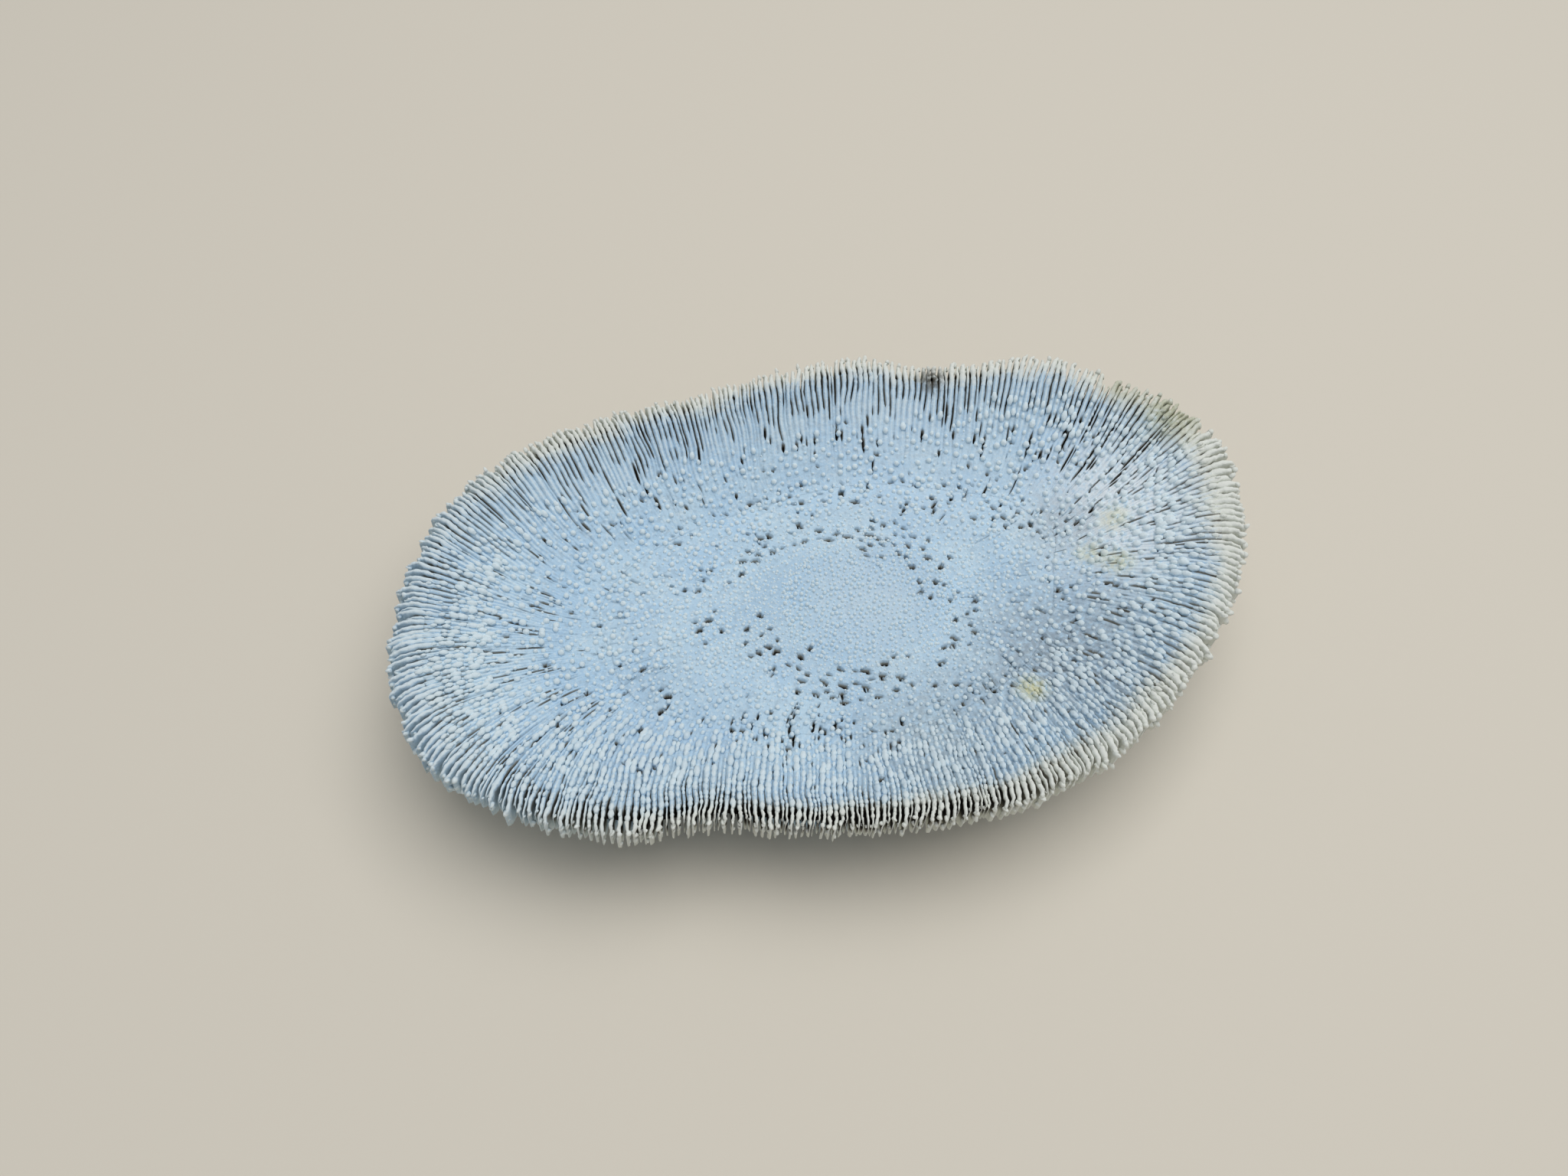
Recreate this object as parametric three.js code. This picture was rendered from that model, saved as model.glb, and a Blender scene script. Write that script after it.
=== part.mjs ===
// The skeleton of an elongate mushroom coral, dead and dry, lying with its spiny underside up.
// It grew as one piece, so it is one closed surface: a shallow dish with a scar in the middle,
// ridges that run from the scar to a comb of free fins round the rim, and the domed face below
// with the long mouth groove. Millimetres, +X along the skeleton, +Z up, resting on Z = 0.
import * as THREE from "three";

// Fin tips round the rim as [along, across, height], counter-clockwise from the +X end.
const RIM_TIPS = [
  [94, -1, 29.5],
  [94.5, 13, 29.5],
  [91, 24, 29],
  [79, 35, 29],
  [67, 46, 29.5],
  [48, 49, 27],
  [34, 52, 25.5],
  [24, 57, 28.5],
  [8, 58.5, 29],
  [-15, 56, 28],
  [-40, 55, 27.5],
  [-62, 49.5, 28],
  [-79, 37.5, 28],
  [-90, 20, 27.5],
  [-94, 0, 27],
  [-90, -18, 27],
  [-77, -34.5, 27.5],
  [-58, -43.5, 26],
  [-44, -44.5, 24.5],
  [-28, -51.5, 26],
  [-5, -57.5, 27.5],
  [20, -57.5, 28],
  [45, -49.5, 28],
  [66, -36, 28.5],
  [85, -20, 29],
];
const HALF_LENGTH = 94.5;
const HALF_WIDTH = 58;

const SCAR_HEIGHT = 14; // the flat scar above the surface that the skeleton rests on
const FIN_DEPTH = 8.5; // a fin's free end, from its top edge to its bottom edge
const NOTCH_REACH = 0.93; // the gaps between two fins stop at this share of the way to the rim
const RAGGED_MM = 1.3; // the most that a fin falls short of the rim
const PIT_DEPTH = 2.2; // the round pits in the furrows
const GROOVE_DEPTH = 7; // the mouth groove, up from the surface that the skeleton rests on

// A ridge leaves the rim nearly square to it, and inside the knee it runs straight to the middle.
const RIDGE_BEND = 1.8;
const KNEE = 0.5;
const HALVINGS = 30; // steps in the search for the place where a ridge crosses a ring
const BEYOND_RIM = 1.2; // where that search starts, as a share of the way to the rim

// Ridges at the rim, on the flanks and by the middle. Younger ridges start in older furrows.
const RIM_RIDGES = 180;
const FLANK_RIDGES = RIM_RIDGES / 2;
const CORE_RIDGES = FLANK_RIDGES / 2;

const SEED = 7;
const CORAL_COLOUR = 0xcfd8dc;
const CORAL_ROUGHNESS = 0.9;

// Rings of the upper face from the middle out, as shares of the half length and half width.
// rise is the share of the climb from the scar to the fin tips, furrow the depth between two
// ridges, knob the lumps along a ridge, and pits the share of furrows with a pit in that ring.
const UPPER_RINGS = [
  { along: 0.1, across: 0.11, rise: 0, furrow: 0.2, knob: 0, pits: 0, ridges: CORE_RIDGES },
  { along: 0.19, across: 0.21, rise: 0.02, furrow: 0.3, knob: 0.2, pits: 0, ridges: CORE_RIDGES },
  { along: 0.27, across: 0.31, rise: 0.01, furrow: 0.4, knob: 0.3, pits: 0, ridges: CORE_RIDGES },
  { along: 0.32, across: 0.37, rise: -0.03, furrow: 0.5, knob: 0.3, pits: 0.5, ridges: FLANK_RIDGES },
  { along: 0.42, across: 0.45, rise: 0.05, furrow: 0.7, knob: 0.5, pits: 0.05, ridges: FLANK_RIDGES },
  { along: 0.5, across: 0.5, rise: 0.06, furrow: 0.8, knob: 0.5, pits: 0.1, ridges: FLANK_RIDGES },
  { along: 0.56, across: 0.56, rise: 0.04, furrow: 0.8, knob: 0.5, pits: 0.4, ridges: RIM_RIDGES },
  { along: 0.65, across: 0.65, rise: 0.19, furrow: 1.1, knob: 0.6, pits: 0.15, ridges: RIM_RIDGES },
  { along: 0.74, across: 0.74, rise: 0.37, furrow: 1.3, knob: 0.6, pits: 0.25, ridges: RIM_RIDGES },
  { along: 0.83, across: 0.83, rise: 0.6, furrow: 1.6, knob: 0.6, pits: 0.25, ridges: RIM_RIDGES },
  { along: 0.92, across: 0.92, rise: 0.88, furrow: 2.2, knob: 0.5, pits: 0, ridges: RIM_RIDGES },
  { along: 1, across: 1, rise: 0.98, furrow: 4, knob: 0.4, pits: 0, ridges: RIM_RIDGES },
];

// Rings of the domed face below, from the rim in: the flat band that the skeleton rests on is
// where rise and furrow are both nothing, and the last rings, which are level all round, are the
// walls and floor of the groove.
const LOWER_RINGS = [
  { along: 0.985, across: 0.985, rise: 1, furrow: 1.6, knob: 0.3, pits: 0, ridges: RIM_RIDGES },
  { along: 0.88, across: 0.88, rise: 0.6, furrow: 1.6, knob: 0.4, pits: 0, ridges: RIM_RIDGES },
  { along: 0.75, across: 0.75, rise: 0.31, furrow: 1.5, knob: 0.4, pits: 0, ridges: RIM_RIDGES },
  { along: 0.61, across: 0.6, rise: 0.1, furrow: 1.1, knob: 0.2, pits: 0, ridges: FLANK_RIDGES },
  { along: 0.48, across: 0.42, rise: 0, furrow: 0, knob: 0, pits: 0, ridges: FLANK_RIDGES },
  { along: 0.37, across: 0.16, rise: 0, furrow: 0, knob: 0, pits: 0, ridges: FLANK_RIDGES },
  { along: 0.34, across: 0.09, lift: GROOVE_DEPTH / 2, furrow: 0.3, knob: 0, pits: 0, ridges: CORE_RIDGES },
  { along: 0.31, across: 0.05, lift: GROOVE_DEPTH, furrow: 0, knob: 0, pits: 0, ridges: CORE_RIDGES },
];

const UPPER_FACE = { floor: SCAR_HEIGHT, drop: 0, inward: -1 };
const LOWER_FACE = { floor: 0, drop: FIN_DEPTH, inward: 1 };

const rimCurve = new THREE.CatmullRomCurve3(
  RIM_TIPS.map(([x, y, z]) => new THREE.Vector3(x, y, z)),
  true,
  "centripetal",
);
rimCurve.arcLengthDivisions = 4 * RIM_RIDGES;

// How far out a place is, as a share of the oval with the skeleton's half length and half width.
function ovalShare(x, y) {
  return Math.hypot(x / HALF_LENGTH, y / HALF_WIDTH);
}

// The place where the ridge that ends at tip crosses a ring outside the knee.
function crossOuterRing(tip, along, across) {
  const target = ovalShare(tip.x, tip.y);
  let near = 0;
  let far = BEYOND_RIM;
  for (let i = 0; i < HALVINGS; i += 1) {
    const middle = (near + far) / 2;
    const share = ovalShare((tip.x * middle) / along, (tip.y * middle ** RIDGE_BEND) / across);
    if (share > target) far = middle;
    else near = middle;
  }
  return { x: tip.x * near, y: tip.y * near ** RIDGE_BEND };
}

// The place where the ridge that ends at tip crosses any ring.
function crossRing(tip, along, across) {
  if (along > KNEE) return crossOuterRing(tip, along, across);
  const knee = crossOuterRing(tip, KNEE, KNEE);
  return { x: (knee.x * along) / KNEE, y: (knee.y * across) / KNEE };
}

// One ring of points, a ridge and a furrow in turn.
function ringPoints(ring, face, order) {
  const { rise = 0, lift = 0 } = ring;
  const points = [];
  for (let i = 0; i < 2 * ring.ridges; i += 1) {
    const tip = rimCurve.getPointAt(i / (2 * ring.ridges));
    const isRidge = i % 2 === 0;
    const chance = THREE.MathUtils.seededRandom();
    const atRim = ring.along > NOTCH_REACH;
    const ragged = atRim ? 1 - (chance * RAGGED_MM) / HALF_WIDTH : 1;
    const reach = atRim && !isRidge ? NOTCH_REACH / ring.along : ragged;
    const place = crossRing(tip, ring.along * reach, ring.across * reach);
    const level = face.floor + lift + rise * (tip.z - face.drop - face.floor);
    const knob = (i / 2 + order) % 2 === 0 ? ring.knob : -ring.knob;
    const pit = chance < ring.pits ? PIT_DEPTH : 0;
    const depth = isRidge ? -knob : ring.furrow + pit;
    points.push(new THREE.Vector3(place.x, place.y, level + face.inward * depth));
  }
  return points;
}

// Triangles between two rings with the same number of points, or with twice as many in one.
function stitch(from, to, triangles) {
  const steps = Math.min(from.length, to.length);
  const fromStep = from.length / steps;
  const toStep = to.length / steps;
  for (let i = 0; i < steps; i += 1) {
    const a = (k) => from[(i * fromStep + k) % from.length];
    const b = (k) => to[(i * toStep + k) % to.length];
    if (toStep === 2) {
      triangles.push([a(0), b(0), b(1)], [a(0), b(1), a(1)], [a(1), b(1), b(2)]);
    } else if (fromStep === 2) {
      triangles.push([a(0), b(0), a(1)], [a(1), b(0), b(1)], [a(1), b(1), a(2)]);
    } else {
      triangles.push([a(0), b(0), b(1)], [a(0), b(1), a(1)]);
    }
  }
}

// A fan that closes the surface over its first or last ring.
function closeOver(ring, centre, outward, triangles) {
  ring.forEach((point, i) => {
    const next = ring[(i + 1) % ring.length];
    triangles.push(outward ? [centre, point, next] : [point, centre, next]);
  });
}

// The whole closed surface, with its origin under the middle of the skeleton.
function skeletonGeometry() {
  THREE.MathUtils.seededRandom(SEED);
  const upper = UPPER_RINGS.map((ring, order) => ringPoints(ring, UPPER_FACE, order));
  const lower = LOWER_RINGS.map((ring, order) => ringPoints(ring, LOWER_FACE, order));
  const rings = [...upper, ...lower];
  const triangles = [];
  closeOver(rings[0], new THREE.Vector3(0, 0, SCAR_HEIGHT), true, triangles);
  rings.slice(1).forEach((ring, i) => stitch(rings[i], ring, triangles));
  closeOver(rings.at(-1), new THREE.Vector3(0, 0, GROOVE_DEPTH), false, triangles);
  const geometry = new THREE.BufferGeometry().setFromPoints(triangles.flat());
  geometry.computeBoundingBox();
  const middle = geometry.boundingBox.getCenter(new THREE.Vector3());
  geometry.translate(-middle.x, -middle.y, 0);
  geometry.computeVertexNormals();
  return geometry;
}

function coralMaterial() {
  return new THREE.MeshStandardMaterial({
    color: CORAL_COLOUR,
    roughness: CORAL_ROUGHNESS,
    metalness: 0,
    flatShading: true,
  });
}

const skeleton = new THREE.Mesh(skeletonGeometry(), coralMaterial());
skeleton.name = "coral_skeleton";

const coral = new THREE.Group();
coral.add(skeleton);

export default coral;
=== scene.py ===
"""The looks of an elongate mushroom coral skeleton that lies with its spiny underside up.

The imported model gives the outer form. The pieces made here stand for it: the wall with its
furrows, slots and pits, the fins that run through it and end in a comb round the rim, the rows of
spines, the fine grains of the scar and the spongy ridge in the mouth groove.

The share of a place is how far round the rim its ridge ends, counter-clockwise from the +X end,
and its reach is how far out it lies, from nothing in the middle to 1 at the rim. Shapes are
worked out in millimetres and turned to metres when a mesh is made.
"""

import logging
import math
from dataclasses import dataclass
from enum import Enum

import bpy
import numpy as np
from mathutils import Matrix, Vector


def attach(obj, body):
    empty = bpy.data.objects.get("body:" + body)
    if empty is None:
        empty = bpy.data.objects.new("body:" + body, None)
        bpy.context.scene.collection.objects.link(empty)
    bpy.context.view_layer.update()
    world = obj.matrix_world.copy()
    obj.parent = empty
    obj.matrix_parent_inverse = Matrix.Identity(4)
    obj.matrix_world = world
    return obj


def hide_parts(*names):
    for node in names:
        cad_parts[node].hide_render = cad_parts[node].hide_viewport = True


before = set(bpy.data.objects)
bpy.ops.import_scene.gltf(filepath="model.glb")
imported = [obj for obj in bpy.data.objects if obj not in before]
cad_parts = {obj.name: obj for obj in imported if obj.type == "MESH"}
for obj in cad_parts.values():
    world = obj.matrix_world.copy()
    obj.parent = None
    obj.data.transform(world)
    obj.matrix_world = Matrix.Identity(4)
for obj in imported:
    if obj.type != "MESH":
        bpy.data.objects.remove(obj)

LOG = logging.getLogger("mushroom_coral")
NODE = "coral_skeleton"
BODY = "root"
MM = 0.001
FORM_SEED = 5
HOLE_SEED = 11
LUMP_SEED = 23
FIN_SEED = 37
WALL_SEED = 41

Colour = tuple[float, float, float]
Numbers = np.ndarray | float
Rows = tuple[tuple[float, ...], ...]

# Fin tips round the rim as (along, across, height), counter-clockwise from the +X end.
RIM_TIPS = (
    (92.6, -1.2, 29), (93.8, 13, 29.5), (90.8, 24, 29), (79, 35, 29), (66.6, 44.6, 29.5),
    (48, 49.2, 27.5), (34.3, 52.8, 26), (24, 55.8, 28.5), (8, 56.9, 29), (-15, 55.9, 28),
    (-40, 55, 27.5), (-62, 49.5, 28), (-79, 37.5, 28), (-88.9, 19.7, 27.5), (-93.2, 0, 27),
    (-89.6, -17, 27), (-76.2, -33, 27.5), (-57, -41.9, 26), (-43, -43.1, 24.5), (-27, -49.6, 26),
    (-4, -55.9, 27.5), (21.2, -57.1, 28), (46.6, -49.5, 28), (67.8, -35.8, 28.5), (83.5, -19.6, 29),
)


class Curve:
    """A smooth curve through knots, each a place and a height."""

    def __init__(self, *knots: tuple[float, float]) -> None:
        """Takes the knots in rising order of place and works out the slopes there."""
        self.places, self.heights = np.array(knots, float).T
        self.slopes = np.gradient(self.heights, self.places)

    def __call__(self, x: Numbers) -> np.ndarray:
        """Heights of the curve, level outside the knots.

        Args:
            x: The places asked for.

        Returns:
            One height for each place.
        """
        places, heights, slopes = self.places, self.heights, self.slopes
        i = np.clip(np.searchsorted(places, x) - 1, 0, len(places) - 2)
        step = places[i + 1] - places[i]
        t = np.clip((x - places[i]) / step, 0, 1)
        start = (1 + 2 * t) * (1 - t) ** 2 * heights[i] + t * (1 - t) ** 2 * step * slopes[i]
        end = t**2 * (3 - 2 * t) * heights[i + 1] + t**2 * (t - 1) * step * slopes[i + 1]
        return start + end


def ramp(x: Numbers, low: Numbers, high: Numbers) -> np.ndarray:
    """Nothing below low, 1 above high and a smooth step between them."""
    t = np.clip((x - low) / (high - low), 0, 1)
    return t * t * (3 - 2 * t)


def wander(rng: np.random.Generator, rows: int, columns: int, knots: int) -> np.ndarray:
    """Smooth random lines between -1 and 1.

    Args:
        rng: The source of randomness.
        rows: How many lines.
        columns: Points on each line.
        knots: Random values on each line, between which it is eased.

    Returns:
        An array of rows by columns.
    """
    values = rng.uniform(-1, 1, (rows, knots))
    at = np.linspace(0, knots - 1, columns)
    i = np.minimum(at.astype(int), knots - 2)
    t = ramp(at - i, 0, 1)
    return values[:, i] * (1 - t) + values[:, i + 1] * t


class Order(Enum):
    """The orders of ridge, each of which ends in a fin. The value is the mean width."""

    LONG = 1.12
    MID = 1.04
    THIN = 0.6


@dataclass
class Skeleton:
    """The form that all pieces share: the rim, the ridges and the two faces."""

    half_length: float = 94.5
    half_width: float = 58.0
    middle: tuple[float, float] = (0.46, 0.07)
    scar_height: float = 14.0
    fin_depth: float = 8.0
    knee: float = 0.5
    ridges: int = 368
    # Shares of the orders. The near side has more thin fins than the rest of the rim.
    usual: tuple[float, float, float] = (0.43, 0.4, 0.17)
    crowded: tuple[float, float, float] = (0.28, 0.27, 0.45)
    crowded_ridges: range = range(203, 321)
    # How much wider ridges are than the mean, by their share.
    breadth: Curve = Curve(
        (0, 1.3), (0.07, 1.12), (0.14, 1.1), (0.2, 1.0), (0.26, 0.86), (0.35, 0.94), (0.5, 1.0), (0.6, 0.95),
        (0.68, 0.86), (0.8, 0.96), (0.87, 1.14), (0.93, 1.36), (1, 1.3),
    )
    # Mean width of a gap before its spread, and the part of it that the near side has.
    gap: float = 0.23
    crowded_gap: float = 0.95
    # The share of the near side's middle, and how far from it the side starts to fade and is gone.
    near_middle: float = 0.73
    near_spread: tuple[float, float] = (0.1, 0.17)
    # How far ridges swerve, and the knots of the swerve by share and by reach.
    drift_mm: float = 0.5
    drift_knots: tuple[int, int] = (110, 13)
    # Part of the climb from the scar to the fin tips, by reach.
    climb: Curve = Curve(
        (0, 0), (0.19, 0.02), (0.27, 0.01), (0.32, -0.02), (0.42, 0.05), (0.5, 0.06), (0.56, 0.05),
        (0.65, 0.19), (0.74, 0.37), (0.83, 0.6), (0.92, 0.86), (0.97, 0.96), (1, 0.96),
    )
    # Part of the climb from the surface it rests on to the foot of the fin tips, by reach.
    belly: Curve = Curve((0.3, 0), (0.48, 0), (0.52, 0.02), (0.61, 0.1), (0.75, 0.31), (0.88, 0.62), (1, 1))
    # How much faster a ridge closes in on the long axis than on the short one, by reach.
    bend: Curve = Curve((0, 1), (0.3, 1.2), (0.5, 2.0), (0.7, 2.8), (1, 2.8))
    bearings: int = 720
    bend_steps: int = 160
    # How far ridges sweep round the skeleton on their way to the middle, in millimetres by share.
    sweep: Curve = Curve(
        (0, 16), (0.08, 8), (0.14, 2), (0.2, 8), (0.32, 7), (0.38, 1), (0.44, -14), (0.5, -30), (0.57, -23),
        (0.63, -15), (0.69, 4), (0.75, 18), (0.88, 17), (1, 16),
    )
    # How much rounder the rings by the scar are than the rim.
    roundness: Curve = Curve((0, 1.1), (0.3, 1.15), (0.42, 1.07), (0.5, 1))
    # Low rises and hollows in the upper face, as x, y, spread and height.
    swells: Rows = (
        (57, 3, 7, -1.2), (66, 8, 9, 1.3), (45, -22, 10, -0.9), (-60, 8, 14, 0.6), (10, 42, 9, 0.5),
        (-30, -30, 12, 0.5),
    )

    def __post_init__(self) -> None:
        """Works out the rim and the places of the ridges on it."""
        rng = np.random.default_rng(FORM_SEED)
        self.curve = self.trace_rim()
        length = np.linalg.norm(np.diff(self.curve, axis=0), axis=1)
        self.run = np.concatenate([[0], np.cumsum(length)])
        self.run /= self.run[-1]
        self.perimeter = length.sum()
        odds = [self.crowded if i in self.crowded_ridges else self.usual for i in range(self.ridges)]
        self.orders = [list(Order)[rng.choice(len(Order), p=p)] for p in odds]
        width = np.array([order.value for order in self.orders]) * rng.uniform(0.88, 1.15, self.ridges)
        width *= self.breadth(np.arange(self.ridges) / self.ridges)
        gaps = self.gap * rng.uniform(0.75, 1.35, self.ridges)
        gaps[self.crowded_ridges] *= self.crowded_gap
        total = (width + gaps).sum()
        end = np.cumsum(width + gaps) / total
        self.halves = width / total / 2
        self.centres = end - gaps / total - self.halves
        self.gap_middles = end - gaps / total / 2
        self.widths = width * self.perimeter / total
        self.knots = rng.uniform(-1, 1, self.drift_knots)
        self.turns = self.trace_turns()

    def trace_rim(self) -> np.ndarray:
        """Traces a smooth closed curve through the named tips.

        Returns:
            Points on the curve, the last equal to the first.
        """
        tips = np.array(RIM_TIPS, float)
        a, b, c, d = (np.roll(tips, shift, axis=0) for shift in (1, 0, -1, -2))
        pairs = ((a, b), (b, c), (c, d))
        ab, bc, cd = (np.linalg.norm(q - p, axis=1, keepdims=True) ** 0.5 for p, q in pairs)
        leave = ((b - a) / ab - (c - a) / (ab + bc) + (c - b) / bc) * bc
        arrive = ((c - b) / bc - (d - b) / (bc + cd) + (d - c) / cd) * bc
        t = np.linspace(0, 1, 80, endpoint=False)[None, :, None]
        b, c, leave, arrive = (p[:, None, :] for p in (b, c, leave, arrive))
        square, cube = 3 * (c - b) - 2 * leave - arrive, 2 * (b - c) + leave + arrive
        curve = (b + leave * t + square * t**2 + cube * t**3).reshape(-1, 3)
        curve[:, :2] -= self.middle
        return np.vstack([curve, curve[:1]])

    def trace_turns(self) -> np.ndarray:
        """Follows ridges from the rim to the middle, one from each of many bearings.

        Returns:
            How far each has turned round the middle, from the middle out, as steps by bearings.
        """
        start = np.linspace(0, math.tau, self.bearings + 1)
        bearing = start.copy()
        turns = [bearing - start]
        for reach in np.linspace(1, 0, self.bend_steps + 1)[1:]:
            excess = self.bend(reach) - 1
            pull = excess * np.sin(bearing) * np.cos(bearing) / (1 + excess * np.sin(bearing) ** 2)
            bearing = bearing - pull / (reach + 1 / self.bend_steps) / self.bend_steps
            turns.append(bearing - start)
        return np.stack(turns[::-1])

    def of_order(self, order: Order) -> np.ndarray:
        """Whether each ridge is of an order."""
        return np.array([found is order for found in self.orders])

    def near_side(self, share: np.ndarray) -> np.ndarray:
        """How much a place belongs to the near side, from nothing to 1."""
        away = np.abs((share - self.near_middle + 0.5) % 1 - 0.5)
        return 1 - ramp(away, *self.near_spread)

    def drift(self, share: np.ndarray, reach: np.ndarray) -> np.ndarray:
        """How far ridges swerve sideways, between -1 and 1.

        Args:
            share: The places' shares.
            reach: Their reaches.

        Returns:
            One swerve for each place.
        """
        rows, columns = self.drift_knots
        u = share * rows
        v = np.clip(reach, 0, 1) * (columns - 1)
        i, j = np.floor(u).astype(int), np.minimum(v.astype(int), columns - 2)
        p, q = ramp(u - i, 0, 1), ramp(v - j, 0, 1)
        i, after = i % rows, (i + 1) % rows
        low = self.knots[i, j] * (1 - p) + self.knots[after, j] * p
        high = self.knots[i, j + 1] * (1 - p) + self.knots[after, j + 1] * p
        return low * (1 - q) + high * q

    def tips(self, share: np.ndarray, reach: np.ndarray) -> np.ndarray:
        """Fin tips that the ridges through some places lead to.

        Args:
            share: The places' shares.
            reach: Their reaches.

        Returns:
            Tips, with one axis more than the places.
        """
        swept = self.sweep(share % 1) * (1 - reach) / self.perimeter
        at = (share + swept + self.drift(share, reach) * self.drift_mm / self.perimeter) % 1
        return np.stack([np.interp(at, self.run, self.curve[:, k]) for k in range(3)], axis=-1)

    def columns(self, count: int) -> np.ndarray:
        """Shares of the columns of a ring.

        Args:
            count: Columns in the ring: four, two, one or a part of one for each ridge.

        Returns:
            The shares of the ridges, of their sides and of the gaps' middles.
        """
        if count == 4 * self.ridges:
            after = np.append(self.centres[1:] - self.halves[1:], 1 + self.centres[0] - self.halves[0])
            return np.stack([self.centres, self.centres + self.halves, self.gap_middles, after], 1).ravel()
        if count == 2 * self.ridges:
            return np.stack([self.centres, self.gap_middles], axis=1).ravel()
        return self.centres[:: self.ridges // count]

    def cross(self, tips: np.ndarray, along: Numbers, across: Numbers) -> np.ndarray:
        """Places where ridges cross rings.

        Args:
            tips: The tips where the ridges end, as (..., 3).
            along: The rings' half lengths, where the rim has 1.
            across: The rings' half widths, where the rim has 1.

        Returns:
            Places as (..., 2).
        """
        x, y = tips[..., 0] / self.half_length, tips[..., 1] / self.half_width
        steps, bearings = self.turns.shape
        start = np.arctan2(y, x) % math.tau
        u = start / math.tau * (bearings - 1)
        v = np.clip(along, 0, 1) * (steps - 1)
        i, j = np.minimum(v.astype(int), steps - 2), np.minimum(u.astype(int), bearings - 2)
        p, q = v - i, u - j
        low = self.turns[i, j] * (1 - q) + self.turns[i, j + 1] * q
        high = self.turns[i + 1, j] * (1 - q) + self.turns[i + 1, j + 1] * q
        bearing = start + low * (1 - p) + high * p
        halves = np.stack([self.half_length * along, self.half_width * across], axis=-1)
        return halves * np.hypot(x, y)[..., None] * np.stack([np.cos(bearing), np.sin(bearing)], axis=-1)

    def ring(self, tips: np.ndarray, reach: Numbers) -> np.ndarray:
        """Places on the upper face, at a reach on the ridges that end in some tips."""
        return self.cross(tips, reach, reach * self.roundness(reach))

    def reach(self, place: np.ndarray) -> np.ndarray:
        """Rough reaches of places, from the oval that the skeleton fills."""
        return np.hypot(place[..., 0] / self.half_length, place[..., 1] / self.half_width)

    def upper(self, tips: np.ndarray, place: np.ndarray, reach: Numbers) -> np.ndarray:
        """Heights of the ridge crests on the upper face.

        Args:
            tips: The tips where the ridges end, as (..., 3).
            place: The places as (..., 2).
            reach: Their reaches.

        Returns:
            One height for each place.
        """
        level = self.scar_height + self.climb(reach) * (tips[..., 2] - self.scar_height)
        for x, y, spread, height in self.swells:
            away = np.hypot(place[..., 0] - x, place[..., 1] - y)
            level = level + height * np.exp(-((away / spread) ** 2))
        return level

    def lower(self, tips: np.ndarray, reach: Numbers) -> np.ndarray:
        """Heights of the fins' lower edges."""
        return np.maximum(0, self.belly(reach)) * (tips[..., 2] - self.fin_depth)


def add_marks(mesh: bpy.types.Mesh, reach: np.ndarray, depth: np.ndarray) -> None:
    """Gives the points of a mesh their reach and depth, which the finish reads, painting shade and highlight
    from the depth.
    """
    for name, values in (("reach", reach), ("depth", depth)):
        attribute = mesh.attributes.new(name, "FLOAT", "POINT")
        attribute.data.foreach_set("value", values.astype(np.float32))


def make_piece(
    name: str, points: np.ndarray, triangles: np.ndarray, reach: np.ndarray, depth: np.ndarray
) -> bpy.types.Object:
    """Makes a smooth-shaded mesh object from arrays.

    Args:
        name: The piece's name.
        points: Points in millimetres, as (n, 3).
        triangles: Indices of points, as (m, 3).
        reach: Each point's reach.
        depth: How deep each point lies in a gap, which the finish paints as shade. It is under nothing where
            the surface is painted paler, partly as a highlight.

    Returns:
        The object, at the origin.
    """
    mesh = bpy.data.meshes.new(name)
    mesh.vertices.add(len(points))
    mesh.vertices.foreach_set("co", (points * MM).astype(np.float32).ravel())
    mesh.loops.add(triangles.size)
    mesh.loops.foreach_set("vertex_index", triangles.astype(np.int32).ravel())
    mesh.polygons.add(len(triangles))
    mesh.polygons.foreach_set("loop_start", np.arange(0, triangles.size, 3, dtype=np.int32))
    mesh.polygons.foreach_set("use_smooth", np.ones(len(triangles), bool))
    add_marks(mesh, reach, depth)
    mesh.update(calc_edges=True)
    mesh.validate()
    piece = bpy.data.objects.new(name, mesh)
    bpy.context.scene.collection.objects.link(piece)
    return piece


def claim(piece: bpy.types.Object, material: bpy.types.Material) -> None:
    """Dresses a finished piece, puts it in place of the solid and reports it.

    Args:
        piece: The finished piece.
        material: Its finish.
    """
    piece.data.materials.clear()
    piece.data.materials.append(material)
    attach(piece, BODY)
    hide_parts(NODE)
    LOG.info("%s: %d faces", piece.name, len(piece.data.polygons))


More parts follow.
